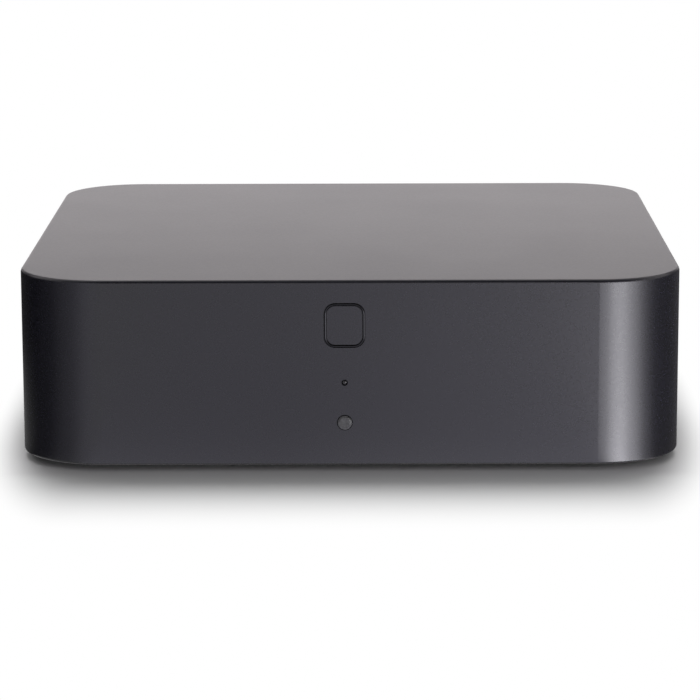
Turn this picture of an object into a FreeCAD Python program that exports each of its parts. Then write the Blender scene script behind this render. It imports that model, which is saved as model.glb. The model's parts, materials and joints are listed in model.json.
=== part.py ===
"""A small network audio adapter: a satin black square box that puts a hi-fi on the home network.

Frame: millimetres, +Z up. The origin is on the floor, under the middle of the housing. The front faces -Y,
so the front of the housing is at y = -body_depth/2, and the jacks are on the rear, at +Y.

One moulded housing makes the roof and the four sides. The main board hangs from posts under the roof, the
rear panel slides up between two guides inside the rear wall, and a base plate closes the box from below.
"""

import FreeCAD, Part
import math
import os
import re

import Sketcher

Vector = FreeCAD.Vector
Rotation = FreeCAD.Rotation

# Driving dimensions

SIZES = [
    # Housing
    ("body_width", 143.0, "outside width of the housing"),
    ("body_depth", 143.0, "outside depth of the housing"),
    ("body_height", 40.0, "height of the housing, without the feet"),
    ("corner_radius", 18.5, "radius of the four upright corners"),
    ("side_wall", 2.5, "thickness of the housing's sides"),
    ("roof_wall", 2.5, "thickness of the housing's roof"),
    ("top_round", 0.7, "rounding of the edge between roof and sides"),
    ("bottom_round", 0.5, "rounding of the lower outside edge"),
    # Base plate, feet and screws
    ("foot_lift", 1.5, "gap between the floor and the housing's lower edge"),
    ("base_recess", 0.5, "how far the base plate lies above the housing's lower edge"),
    ("base_thickness", 2.0, "thickness of the base plate"),
    ("base_gap", 0.3, "gap between the base plate and the housing"),
    ("foot_radius", 8.0, "radius of a rubber foot"),
    ("foot_inset", 25.5, "from the side of the housing to the centre of a foot"),
    ("foot_pocket", 0.6, "depth of the pocket that a foot is glued into"),
    ("foot_gap", 0.15, "gap round a foot in its pocket"),
    ("foot_bevel", 0.8, "bevel of a foot's lower edge"),
    ("vent_count", 8, "number of vent slots in the base plate"),
    ("vent_length", 34.0, "length of a vent slot"),
    ("vent_width", 2.0, "width of a vent slot"),
    ("vent_pitch", 5.0, "distance between vent slots"),
    ("vent_y", 17.0, "middle of the vent slots, front or back"),
    ("label_width", 46.0, "width of the blank label field in the base plate"),
    ("label_depth", 22.0, "front to back size of the label field"),
    ("label_sink", 0.25, "how deep the label field is"),
    ("label_round", 2.0, "corner radius of the label field"),
    ("label_y", -28.0, "middle of the label field, front or back"),
    ("pilot_spare", 1.0, "how much deeper a pilot hole is than its screw"),
    ("screw_gap", 0.05, "gap round a screw's shank in what it holds to"),
    ("hole_gap", 0.15, "gap round a screw's shank in what it holds down"),
    ("head_gap", 0.3, "gap round a screw's head in its counterbore"),
    ("base_screw_inset", 14.5, "from the side of the housing to a base screw"),
    ("base_post_radius", 4.0, "radius of the posts that take the base screws"),
    ("base_screw_radius", 1.4, "radius of a base screw's shank"),
    ("base_screw_grip", 9.0, "how far a base screw reaches into its post"),
    ("base_head_radius", 2.8, "radius of a base screw's head"),
    ("base_head_height", 1.2, "height of a base screw's head"),
    # Rear window and panel
    ("window_share", 0.0866, "part of the row's spare width between a rear corner and the window"),
    ("window_sill", 3.0, "from the base plate up to the rear window"),
    ("window_head", 5.5, "from the top of the housing down to the rear window"),
    ("window_round", 4.0, "corner radius of the rear window"),
    ("panel_thickness", 1.5, "thickness of the rear panel"),
    ("panel_side_gap", 0.2, "gap between the rear panel and its guides"),
    ("panel_end_gap", 0.25, "gap above and below the rear panel"),
    ("guide_share", 0.6, "part of the space beside the jacks that a guide reaches over"),
    ("guide_wall", 2.0, "thickness of a guide"),
    ("guide_root", 0.6, "how far a guide is rooted in the rear wall"),
    ("cutout_gap", 0.3, "gap between a jack and its hole in the rear panel"),
    # Main board
    ("board_lift", 5.0, "from the base plate up to the main board"),
    ("board_thickness", 1.6, "thickness of the main board"),
    ("board_side_gap", 0.6, "how much narrower half the board is than half the window"),
    ("board_rear_gap", 1.0, "from the main board to the rear panel"),
    ("board_front_gap", 15.0, "from the front board to the main board"),
    ("board_round", 3.0, "corner radius of the main board"),
    ("board_hole_side", 4.9, "from the board's side to a mounting hole"),
    ("board_hole_front", 6.0, "from the board's front edge to a mounting hole"),
    ("board_hole_rear", 26.5, "from the board's rear edge to a mounting hole"),
    ("board_post_radius", 3.5, "radius of the posts that carry the main board"),
    ("board_screw_radius", 1.25, "radius of a board screw's shank"),
    ("board_screw_grip", 8.0, "how far a board screw reaches into its post"),
    ("board_head_radius", 2.6, "radius of a board screw's head"),
    ("board_head_height", 1.5, "height of a board screw's head"),
    # Front: button, light and badge
    ("front_shift", 1.1, "how far left of the middle the front features lie"),
    ("button_height", 9.2, "button's centre above the housing's lower edge"),
    ("button_radius", 1.5, "radius of the push button"),
    ("button_gap", 0.18, "gap round the push button"),
    ("button_proud", 0.45, "how far the button stands out of the front"),
    ("button_dome", 0.2, "how far the button's rim lies behind its crown"),
    ("button_rim", 0.4, "width of the sloping rim of the button's face"),
    ("flange_radius", 2.6, "radius of the flange that keeps the button in"),
    ("flange_thickness", 0.8, "thickness of that flange"),
    ("stem_radius", 1.1, "radius of the button's stem"),
    ("stem_length", 1.7, "length of the button's stem"),
    ("plunger_radius", 1.7, "radius of the switch's plunger"),
    ("plunger_proud", 0.9, "how far the plunger stands out of the switch"),
    ("plunger_sink", 1.9, "how far the plunger reaches into the switch"),
    ("plunger_gap", 0.1, "gap round the plunger"),
    ("switch_travel", 0.35, "how far the plunger can be pressed"),
    ("switch_size", 6.0, "width and height of the switch"),
    ("switch_depth", 3.4, "depth of the switch"),
    ("switch_spare", 0.15, "room left behind the plunger when it is pressed"),
    ("light_height", 17.9, "status light's centre above the housing's lower edge"),
    ("light_radius", 0.65, "radius of the status light's window"),
    ("light_gap", 0.03, "gap round the status light's window"),
    ("light_proud", 0.05, "how far the window stands out of the front"),
    ("light_bevel", 0.1, "bevel of the window's edge"),
    ("light_collar", 1.6, "radius of the light pipe's collar"),
    ("light_collar_depth", 1.0, "thickness of the light pipe's collar"),
    ("light_core", 1.0, "radius of the light pipe behind its collar"),
    ("led_size", 1.6, "width and height of the light's emitter"),
    ("led_depth", 0.8, "thickness of the light's emitter"),
    ("led_gap", 0.1, "gap between the emitter and the light pipe"),
    ("badge_drop", 9.7, "from the top of the housing down to the badge's centre"),
    ("badge_width", 8.8, "width of the badge's ring"),
    ("badge_tall", 9.6, "height of the badge's ring"),
    ("badge_round", 2.4, "outside corner radius of the badge's ring"),
    ("badge_band", 0.6, "width of the ring's band"),
    ("badge_gap", 0.04, "gap round the ring in its groove"),
    ("badge_sink", 0.8, "depth of the ring's groove"),
    ("badge_proud", 0.15, "how far the ring stands out of the front"),
    ("badge_bevel", 0.2, "bevel of the ring's edges"),
    # Front board and its ribbon
    ("front_board_width", 18.0, "width of the front board"),
    ("front_board_below", 4.0, "how far the front board reaches below the button"),
    ("front_board_above", 9.5, "how far the front board reaches above the light"),
    ("front_board_thickness", 1.2, "thickness of the front board"),
    ("front_board_round", 1.0, "corner radius of the front board"),
    ("front_hole_side", 2.4, "from the front board's side to a screw"),
    ("front_hole_low", 5.4, "lower screw of the front board, above the button"),
    ("front_hole_high", 5.5, "upper screw of the front board, above the light"),
    ("front_post_radius", 2.3, "radius of the posts that carry the front board"),
    ("front_screw_radius", 0.9, "radius of a front board screw's shank"),
    ("front_screw_grip", 4.0, "how far a front board screw reaches into its post"),
    ("front_head_radius", 1.9, "radius of a front board screw's head"),
    ("front_head_height", 1.1, "height of a front board screw's head"),
    ("socket_width", 9.0, "width of a ribbon socket"),
    ("socket_reach", 4.0, "size of a ribbon socket along its ribbon"),
    ("socket_height", 2.4, "height of a ribbon socket above its board"),
    ("front_socket_rise", 2.2, "front ribbon socket's lower end, above the light"),
    ("board_socket_inset", 1.5, "from the main board's front edge to its ribbon socket"),
    ("ribbon_width", 7.0, "width of the ribbon cable"),
    ("ribbon_thickness", 0.3, "thickness of the ribbon cable"),
    ("ribbon_bend", 5.0, "inside radius of the ribbon cable's bend"),
    ("ribbon_height", 1.2, "ribbon's middle plane above either board"),
    # Parts on the main board
    ("chip_size", 15.0, "width of the processor"),
    ("chip_height", 1.4, "height of the processor"),
    ("pad_size", 14.0, "width of the thermal pad"),
    ("pad_thickness", 0.5, "thickness of the thermal pad"),
    ("sink_width", 34.0, "width of the heat sink"),
    ("sink_base", 2.5, "thickness of the heat sink's base"),
    ("fin_count", 7, "number of fins"),
    ("fin_height", 10.0, "height of a fin"),
    ("fin_thickness", 1.2, "thickness of a fin"),
    ("fin_pitch", 4.0, "distance between fins"),
    ("push_pin_inset", 2.3, "from the heat sink's side to a push pin"),
    ("push_pin_radius", 1.2, "radius of a push pin"),
    ("push_pin_head", 1.9, "radius of a push pin's head"),
    ("push_pin_cap", 1.2, "height of a push pin's head"),
    ("push_pin_barb", 1.8, "height of a push pin's barb under the board"),
    ("push_pin_tip", 0.6, "radius of the barb's tip"),
    ("push_pin_spread", 1.4, "radius of the barb where it catches the board"),
    ("push_pin_gap", 0.1, "gap round a push pin"),
    ("memory_width", 8.0, "width of a memory chip"),
    ("memory_depth", 12.0, "front to back size of a memory chip"),
    ("memory_height", 1.1, "height of a memory chip"),
    ("memory_share", 0.27, "memory chips' place between heat sink and board's side"),
    ("memory_pitch", 16.0, "distance between the memory chips"),
    ("audio_size", 7.0, "width of an audio chip"),
    ("audio_height", 1.0, "height of an audio chip"),
    ("audio_share", 0.63, "audio chips' place between heat sink and board's side"),
    ("audio_inset", 38.5, "from the board's rear edge to the audio chips"),
    ("audio_pitch", 12.0, "distance between audio chips"),
    ("crystal_width", 5.0, "width of a crystal"),
    ("crystal_depth", 3.2, "front to back size of a crystal"),
    ("crystal_height", 1.0, "height of a crystal"),
    ("crystal_x", -24.0, "the crystals' middle, left or right"),
    ("crystal_pitch", 10.0, "distance between the crystals"),
    ("capacitor_radius", 3.15, "radius of an electrolytic capacitor"),
    ("capacitor_height", 7.7, "height of an electrolytic capacitor"),
    ("capacitor_seat", 0.8, "thickness of a capacitor's square foot"),
    ("capacitor_rim", 0.15, "how far that foot reaches past the capacitor"),
    ("output_side", 25.9, "from the board's side to the middle of the output capacitors"),
    ("output_inset", 24.5, "from the board's rear edge to the output capacitors"),
    ("supply_side", 8.4, "from the board's side to the supply's capacitors"),
    ("supply_inset", 43.5, "from the board's rear edge to the middle of the supply's parts"),
    ("supply_pitch", 10.0, "distance between the supply's parts"),
    ("coil_size", 7.0, "width of a power inductor"),
    ("coil_height", 3.5, "height of a power inductor"),
    ("coil_step", 10.0, "from the supply's capacitors to its inductors"),
    ("transformer_depth", 7.5, "front to back size of the network transformer"),
    ("transformer_height", 6.0, "height of the network transformer"),
    ("transformer_gap", 2.25, "from the network jack to the network transformer"),
    # Wireless board and aerials
    ("radio_width", 22.0, "width of the wireless board"),
    ("radio_depth", 20.0, "front to back size of the wireless board"),
    ("radio_side", 20.4, "from the main board's side to the wireless board's middle"),
    ("radio_share", 0.62, "its middle's place between the main board's front and the heat sink"),
    ("radio_thickness", 1.0, "thickness of the wireless board"),
    ("radio_strip", 4.0, "rear strip of the wireless board outside its shield"),
    ("radio_rim", 0.5, "from the wireless board's edge to its shield"),
    ("shield_height", 2.2, "height of the wireless board's shield"),
    ("sheet_thickness", 0.3, "thickness of shields and jack shells"),
    ("plug_spread", 6.0, "from the wireless board's middle to an aerial's plug"),
    ("plug_radius", 1.4, "radius of an aerial's plug"),
    ("plug_seat", 0.9, "height of the seat under an aerial's plug"),
    ("plug_seat_radius", 1.1, "radius of that seat"),
    ("plug_height", 2.3, "height of an aerial's plug"),
    ("lead_radius", 0.6, "radius of an aerial's lead"),
    ("lead_gap", 0.05, "gap between the end of a lead and its aerial"),
    ("lead_lift", 0.4, "gap between the main board and a lead that crosses it"),
    ("lead_join", 5.0, "from an aerial's middle to its lead, towards the rear"),
    ("lead_top", 2.0, "from an aerial's upper edge to the end of its lead"),
    ("aerial_length", 40.0, "length of an aerial"),
    ("aerial_height", 8.0, "height of an aerial"),
    ("aerial_thickness", 0.5, "thickness of an aerial"),
    ("aerial_low", 22.0, "lower edge of an aerial above the floor"),
    ("aerial_y", -10.0, "middle of an aerial, front or back"),
    # Jacks on the rear
    ("row_share", 0.065, "part of the row's spare width between the window's side and a jack"),
    ("jack_proud", 0.6, "how far a jack's face stands out of the rear panel"),
    ("jack_fit", 0.05, "gap between a jack's shell and its insert"),
    ("power_width", 9.0, "width of the power jack"),
    ("power_height", 11.0, "height of the power jack"),
    ("power_depth", 14.0, "depth of the power jack behind the panel"),
    ("power_centre", 6.5, "power jack's axis above the main board"),
    ("power_nose", 4.2, "radius of the power jack's nose"),
    ("power_hole", 2.9, "radius of the power jack's hole"),
    ("power_hole_depth", 10.0, "depth of the power jack's hole"),
    ("power_pin", 1.0, "radius of the power jack's pin"),
    ("power_pin_back", 0.8, "how far the pin's tip lies inside the hole's mouth"),
    ("network_width", 16.0, "width of the network jack"),
    ("network_height", 13.4, "height of the network jack"),
    ("network_depth", 21.0, "depth of the network jack"),
    ("network_port_width", 11.7, "width of the network port"),
    ("network_port_height", 6.7, "height of the network port"),
    ("network_port_low", 3.3, "network port's floor above the main board"),
    ("network_port_depth", 13.0, "depth of the network port"),
    ("latch_width", 6.2, "width of the port's latch slot"),
    ("latch_height", 2.1, "height of the port's latch slot"),
    ("latch_step_width", 9.0, "width of the step above the latch slot"),
    ("latch_step_height", 1.05, "height of the step above the latch slot"),
    ("wire_count", 8, "number of the network jack's contacts"),
    ("wire_pitch", 1.02, "distance between the network jack's contacts"),
    ("wire_size", 0.42, "thickness of one contact"),
    ("wire_drop", 2.1, "how far a contact slopes down from the port's ceiling"),
    ("wire_front", 3.0, "from the jack's face to the front of the contacts"),
    ("wire_back", 1.5, "from the port's back to the end of the contacts"),
    ("data_width", 13.2, "width of the data jack's shell"),
    ("data_height", 5.8, "height of the data jack's shell"),
    ("data_depth", 14.0, "depth of the data jack"),
    ("data_low", 0.6, "data jack's shell above the main board"),
    ("data_tongue_width", 11.2, "width of the data jack's tongue"),
    ("data_tongue_height", 1.9, "height of the data jack's tongue"),
    ("data_tongue_back", 1.4, "from the data jack's mouth to its tongue"),
    ("data_block_depth", 3.5, "depth of the block at the back of the data jack"),
    ("video_width", 15.0, "width of the video jack's shell"),
    ("video_height", 5.6, "height of the video jack's shell"),
    ("video_depth", 12.0, "depth of the video jack"),
    ("video_low", 0.5, "video jack's shell above the main board"),
    ("video_slant", 1.9, "width of the slanted lower corners of the video jack"),
    ("video_shoulder", 2.3, "height where those corners start"),
    ("video_tongue_width", 10.4, "width of the video jack's tongue"),
    ("video_tongue_height", 1.3, "height of the video jack's tongue"),
    ("video_tongue_low", 2.6, "video jack's tongue above the shell's underside"),
    ("video_tongue_back", 1.0, "from the video jack's mouth to its tongue"),
    ("video_block_depth", 3.0, "depth of the block at the back of the video jack"),
    ("optical_width", 9.7, "width of the optical jack"),
    ("optical_height", 10.0, "height of the optical jack"),
    ("optical_port", 6.0, "width and height of the optical port"),
    ("optical_lip", 1.2, "thickness of the lip round the optical port"),
    ("optical_room_width", 7.2, "width of the room behind the lip"),
    ("optical_room_depth", 9.2, "depth of the room behind the lip"),
    ("optical_room_below", 3.4, "room's floor below the port's centre"),
    ("optical_room_above", 4.3, "room's ceiling above the port's centre"),
    ("optical_back", 1.6, "thickness of the optical jack's back wall"),
    ("lug_width", 6.0, "width of the lug on the power jack and on the optical jack"),
    ("lug_height", 4.4, "height of such a lug"),
    ("lug_depth", 7.0, "depth of such a lug"),
    ("shutter_hinge_rise", 3.7, "shutter's hinge above the port's centre"),
    ("shutter_hinge_back", 0.5, "from the lip's inside back to the hinge"),
    ("shutter_thickness", 0.7, "thickness of the shutter"),
    ("shutter_width", 6.8, "width of the shutter"),
    ("shutter_drop", 6.9, "how far the shutter hangs below its hinge"),
    ("shutter_pin", 0.45, "radius of the shutter's hinge pin"),
    ("shutter_pin_reach", 0.8, "how far the pin reaches past the shutter"),
    ("shutter_pin_gap", 0.05, "gap round the hinge pin"),
    ("shutter_pin_room", 0.1, "free space past each end of the hinge pin"),
    ("receiver_width", 8.2, "width of the optical receiver"),
    ("receiver_height", 9.0, "height of the optical receiver"),
    ("receiver_depth", 3.0, "depth of the optical receiver"),
    ("lens_radius", 1.5, "radius of the optical receiver's lens"),
    ("lens_gap", 0.1, "gap round that lens"),
    ("phono_width", 10.0, "width of a phono jack's block"),
    ("phono_depth", 10.0, "depth of a phono jack's block"),
    ("phono_centre", 6.0, "lower phono jack's axis above the main board"),
    ("phono_drop", 6.0, "from the top of the rear window down to the upper phono jack"),
    ("phono_cover", 5.6, "from a phono jack's axis to the top of its block"),
    ("phono_boss", 4.4, "radius of a phono jack's boss in the panel"),
    ("phono_boss_gap", 0.15, "gap round that boss"),
    ("phono_radius", 4.15, "radius of a phono jack's barrel"),
    ("phono_length", 9.0, "length of a phono jack's barrel"),
    ("phono_wall", 0.45, "wall of a phono jack's barrel"),
    ("phono_bevel", 0.25, "bevel at the barrel's mouth"),
    ("phono_ring_back", 1.0, "from the barrel's mouth to the coloured ring"),
    ("phono_pin_hole", 1.65, "radius of the phono jack's centre hole"),
    ("phono_contact", 0.4, "wall of the centre contact"),
    ("phono_contact_back", 0.3, "how far the contact lies behind the ring's face"),
    ("ground_radius", 2.0, "radius of the ground terminal's stud"),
    ("ground_reach", 8.6, "how far the stud stands out of the rear panel"),
    ("ground_bevel", 0.4, "bevel of the stud's end and of the thumb nut's"),
    ("ground_head", 3.8, "radius of the stud's head behind the panel"),
    ("ground_head_depth", 1.8, "thickness of the stud's head"),
    ("washer_radius", 3.7, "radius of the ground terminal's washer"),
    ("washer_thickness", 0.8, "thickness of that washer"),
    ("washer_gap", 0.15, "gap between the stud and the washer"),
    ("nut_radius", 3.6, "radius of the thumb nut"),
    ("nut_length", 5.0, "length of the thumb nut"),
    ("nut_neck_radius", 3.0, "radius of the thumb nut's neck"),
    ("nut_neck_length", 0.8, "length of the thumb nut's neck"),
    ("nut_slope", 0.4, "length of the slope from that neck to the knurls"),
    ("nut_gap", 0.05, "gap between the stud and the thumb nut"),
    ("knurl_count", 18, "number of grooves round the thumb nut"),
    ("knurl_radius", 0.35, "radius of one groove"),
    ("jack_screw_radius", 0.9, "radius of a rear panel screw's shank"),
    ("jack_screw_grip", 5.0, "how far a rear panel screw reaches into its jack"),
    ("jack_head_radius", 1.8, "radius of a rear panel screw's head"),
    ("jack_head_height", 0.9, "height of a rear panel screw's head"),
    ("jack_screw_rise", 2.2, "a rear panel screw above its jack's block"),
    # Crosses in the screws' heads
    ("cross_half", 0.35, "half the width of an arm of the cross"),
    ("cross_margin", 0.8, "from the end of an arm to the head's edge"),
    ("cross_depth", 0.6, "depth of the cross"),
]

# Places that follow from the driving dimensions

PLACES = [
    ("top", "foot_lift + body_height", "upper face of the roof"),
    ("roof", "top - roof_wall", "underside of the roof"),
    ("inner_x", "body_width/2 - side_wall", "inside of the right wall"),
    ("inner_y", "body_depth/2 - side_wall", "inside of the rear wall"),
    ("base_low", "foot_lift + base_recess", "underside of the base plate"),
    ("base_top", "base_low + base_thickness", "upper face of the base plate"),
    ("base_screw_x", "body_width/2 - base_screw_inset", "a base screw"),
    ("base_screw_y", "body_depth/2 - base_screw_inset", "a base screw"),
    ("foot_x", "body_width/2 - foot_inset", "centre of a foot"),
    ("foot_y", "body_depth/2 - foot_inset", "centre of a foot"),
    ("flat_half", "body_width/2 - corner_radius", "half of the rear wall's flat"),
    (
        "row_spare",
        "2*flat_half - power_width - network_width - data_width - video_width"
        " - optical_width - 2*phono_width",
        "width of the rear wall's flat that the jacks leave free",
    ),
    ("window_half", "flat_half - row_spare*window_share", "half of the rear window"),
    ("window_low", "base_top + window_sill", "lower edge of the rear window"),
    ("window_high", "top - window_head", "upper edge of the rear window"),
    ("panel_in", "inner_y - panel_thickness", "inside of the rear panel"),
    ("panel_half", "flat_half - panel_side_gap", "half of the rear panel"),
    ("board_low", "base_top + board_lift", "underside of the main board"),
    ("board_top", "board_low + board_thickness", "upper face of the main board"),
    ("board_half", "window_half - board_side_gap", "half of the main board"),
    ("board_rear", "panel_in - board_rear_gap", "rear edge of the main board"),
    ("board_hole_x", "board_half - board_hole_side", "a mounting hole"),
    ("board_hole_y2", "board_rear - board_hole_rear", "a rear mounting hole"),
    ("front_x", "-front_shift", "middle of the front features"),
    ("button_z", "foot_lift + button_height", "the button's axis"),
    ("light_z", "foot_lift + light_height", "the light's axis"),
    ("badge_z", "top - badge_drop", "the badge's centre"),
    ("flange_end", "side_wall + flange_thickness", "inside of the button's flange"),
    ("stem_end", "-body_depth/2 + flange_end + stem_length", "the stem's end"),
    ("switch_y", "stem_end + plunger_proud", "front of the switch"),
    ("front_board_y", "switch_y + switch_depth", "front face of the front board"),
    ("front_back_y", "front_board_y + front_board_thickness", "its rear face"),
    ("front_low", "button_z - front_board_below", "its lower edge"),
    ("front_high", "light_z + front_board_above", "its upper edge"),
    ("front_hole_x", "front_board_width/2 - front_hole_side", "its screws"),
    ("front_hole_z1", "button_z + front_hole_low", "its lower screw"),
    ("front_hole_z2", "light_z + front_hole_high", "its upper screw"),
    ("board_front", "front_back_y + board_front_gap", "front edge of the main board"),
    ("board_depth", "board_rear - board_front", "front to back size of the main board"),
    ("board_hole_y1", "board_front + board_hole_front", "a front mounting hole"),
    ("board_socket_y", "board_front + board_socket_inset", "the ribbon's rear end"),
    ("ribbon_top", "light_z + front_socket_rise", "the ribbon's upper end"),
    ("chip_top", "board_top + chip_height", "upper face of the processor"),
    ("sink_low", "chip_top + pad_thickness", "underside of the heat sink"),
    ("sink_top", "sink_low + sink_base", "upper face of the heat sink's base"),
    ("push_pin_x", "sink_width/2 - push_pin_inset", "a push pin"),
    ("side_strip", "board_half - sink_width/2", "from the heat sink to the board's side"),
    ("memory_x", "sink_width/2 + side_strip*memory_share", "the memory chips"),
    ("audio_x", "sink_width/2 + side_strip*audio_share", "the audio chips"),
    ("audio_y", "board_rear - audio_inset", "the audio chips"),
    ("output_x", "board_half - output_side", "middle of the output capacitors"),
    ("output_y", "board_rear - output_inset", "the output capacitors"),
    ("supply_x", "supply_side - board_half", "the supply's capacitors"),
    ("supply_y", "board_rear - supply_inset", "middle of the supply's parts"),
    ("coil_x", "supply_x + coil_step", "the power inductors"),
    ("radio_x", "radio_side - board_half", "middle of the wireless board"),
    ("radio_y", "board_front - (board_front + sink_width/2)*radio_share", "its middle"),
    ("radio_top", "board_top + radio_thickness", "upper face of the wireless board"),
    ("shield_y", "radio_y - radio_strip/2", "middle of its shield"),
    ("shield_width", "radio_width - 2*radio_rim", "width of its shield"),
    ("shield_depth", "radio_depth - radio_strip - 2*radio_rim", "depth of its shield"),
    ("plug_left", "radio_x - plug_spread", "plug of the left aerial"),
    ("plug_right", "radio_x + plug_spread", "plug of the right aerial"),
    ("plug_y", "radio_y + radio_depth/2 - radio_strip/2", "both plugs"),
    ("plug_z", "radio_top + plug_seat", "an aerial plug's lower end"),
    ("lead_wall", "inner_x - aerial_thickness - lead_radius - lead_gap", "a lead beside its aerial"),
    ("lead_high", "plug_z + plug_height/2", "height of a lead at its plug"),
    ("lead_low", "board_top + lead_radius + lead_lift", "height of a lead over the board"),
    ("lead_end", "aerial_low + aerial_height - lead_top", "height of a lead's end"),
    ("jack_row", "2*window_half - 2*row_spare*row_share", "length of the row of jacks"),
    ("jack_gap", "(jack_row - 2*flat_half + row_spare)/6", "gap between neighbouring jacks"),
    ("guide_lip", "(panel_half - jack_row/2)*guide_share", "how far a guide reaches over the panel"),
    ("power_x", "-jack_row/2 + power_width/2", "the power jack"),
    ("network_x", "power_x + power_width/2 + jack_gap + network_width/2", "network jack"),
    ("data_x", "network_x + network_width/2 + jack_gap + data_width/2", "data jack"),
    ("video_x", "data_x + data_width/2 + jack_gap + video_width/2", "video jack"),
    ("optical_x", "video_x + video_width/2 + jack_gap + optical_width/2", "optical jack"),
    ("coax_x", "optical_x + optical_width/2 + jack_gap + phono_width/2", "coax jack"),
    ("stereo_x", "coax_x + phono_width + jack_gap", "the pair of stereo jacks"),
    ("jack_face", "inner_y + jack_proud", "face of the jacks"),
    ("power_z", "board_top + power_centre", "the power jack's axis"),
    ("phono_z1", "board_top + phono_centre", "axis of the lower phono jacks"),
    ("phono_z2", "window_high - phono_drop", "axis of the upper phono jack"),
    ("port_low", "board_top + network_port_low", "floor of the network port"),
    ("port_high", "port_low + network_port_height", "ceiling of the network port"),
    ("network_rear", "jack_face - network_depth", "back of the network jack"),
    ("data_z", "board_top + data_low", "underside of the data jack"),
    ("data_back", "jack_face - data_depth", "back of the data jack"),
    ("video_z", "board_top + video_low", "underside of the video jack"),
    ("video_back", "jack_face - video_depth", "back of the video jack"),
    ("optical_z", "board_top + optical_height/2", "middle of the optical port"),
    ("lip_y", "jack_face - optical_lip", "inside of the optical port's lip"),
    ("room_y", "lip_y - optical_room_depth", "back of the room behind it"),
    ("optical_rear", "room_y - optical_back", "back of the optical jack"),
    ("hinge_y", "lip_y - shutter_hinge_back", "the shutter's hinge"),
    ("hinge_z", "optical_z + shutter_hinge_rise", "the shutter's hinge"),
    ("optical_top", "board_top + optical_height", "top of the optical jack's block"),
    ("optical_screw_z", "optical_top + jack_screw_rise", "the optical jack's screw"),
    ("power_top", "board_top + power_height", "top of the power jack's block"),
    ("power_screw_z", "power_top + jack_screw_rise", "the power jack's screw"),
    ("phono_inner", "phono_radius - phono_wall", "inside of a barrel"),
    ("contact_out", "phono_pin_hole + phono_contact", "outside of a centre contact"),
    ("ring_end", "phono_length - phono_ring_back", "from a jack's face to its ring's"),
    ("nut_y", "inner_y + washer_thickness", "inner face of the thumb nut"),
    ("nut_bore", "ground_radius + nut_gap", "radius of the thumb nut's bore"),
]

doc = FreeCAD.newDocument("NetworkAudioAdapter")


def make_sheet():
    """The sheet of driving dimensions: a word, its number and what it measures, one line each."""
    made = doc.addObject("Spreadsheet::Sheet", "Sizes")
    for row, (word, value, note) in enumerate(SIZES, 1):
        made.set(f"A{row}", word)
        made.set(f"B{row}", str(value))
        made.set(f"C{row}", note)
        made.setAlias(f"B{row}", word)
    return made


def with_owner(text):
    """An expression with the holder's name put before each word that is a size or a place."""
    return re.sub(r"[a-z_][a-z_0-9]*", lambda found: OWNERS[found.group()] + found.group(), str(text))


def make_places():
    """The values that follow from the sheet, each bound to it."""
    made = doc.addObject("App::VarSet", "Places")
    for word, text, note in PLACES:
        made.addProperty("App::PropertyFloat", word, "Places", note)
        made.setExpression(word, with_owner(text))
    return made


OWNERS = {word: "Sizes." for word, _, _ in SIZES}
OWNERS.update({word: "Places." for word, _, _ in PLACES})
sheet = make_sheet()
doc.recompute()
places = make_places()
doc.recompute()


def number(text):
    """What an expression comes to now, as a plain number."""
    return float(places.evalExpression(with_owner(text)))


def bind(thing, prop, text):
    """Ties one property of an object to the sheet."""
    thing.setExpression(prop, with_owner(text))


def put_at(thing, x, y, z):
    """Ties an object's place to three expressions."""
    bind(thing, "Placement.Base.x", x)
    bind(thing, "Placement.Base.y", y)
    bind(thing, "Placement.Base.z", z)
    return thing


# The sub-parts, in the order that they are made
SUB_PARTS = []
# Each cut with the solid that it cuts into
CUTS = []


def sub_part(thing, node):
    """Gives a finished piece its name and puts it on the list of what is written out."""
    thing.Label = node
    SUB_PARTS.append(thing)
    return thing


def title(node):
    """A node's name as an object's name: network_jack becomes NetworkJack."""
    return "".join(word.title() for word in node.split("_"))


# Plain solids

# How a piece that is drawn along +Z is turned to lie along another axis
TURNS = {
    "+z": Rotation(),
    "+y": Rotation(Vector(1, 0, 0), -90),
    "-y": Rotation(Vector(1, 0, 0), 90),
    "+x": Rotation(Vector(0, 1, 0), 90),
}


def block(name, x, y, z, size):
    """A box with its middle at x and y, standing on z."""
    made = doc.addObject("Part::Box", name)
    for prop, text in zip(("Length", "Width", "Height"), size):
        bind(made, prop, text)
    return put_at(made, f"{x} - ({size[0]})/2", f"{y} - ({size[1]})/2", z)


def rod(name, x, y, z, radius, length, along="+z"):
    """A cylinder that starts at a point and runs along an axis."""
    made = doc.addObject("Part::Cylinder", name)
    made.Placement.Rotation = TURNS[along]
    bind(made, "Radius", radius)
    bind(made, "Height", length)
    return put_at(made, x, y, z)


def join(name, *shapes):
    """One solid out of several that touch or overlap."""
    made = doc.addObject("Part::MultiFuse", name)
    made.Shapes = list(shapes)
    return made


def cut(name, whole, *tools):
    """A solid with the tools taken out of it."""
    made = doc.addObject("Part::Cut", name)
    made.Base = whole
    made.Tool = tools[0] if len(tools) == 1 else join(name + "Tools", *tools)
    CUTS.append((made, whole))
    return made


def group(name, *shapes):
    """Separate solids that share one name, such as a set of screws."""
    made = doc.addObject("Part::Compound", name)
    made.Links = list(shapes)
    return made


# Sketched solids


def new_body(name):
    return doc.addObject("PartDesign::Body", name)


def origin_part(body, role):
    return next(f for f in body.Origin.OriginFeatures if f.Role == role)


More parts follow.
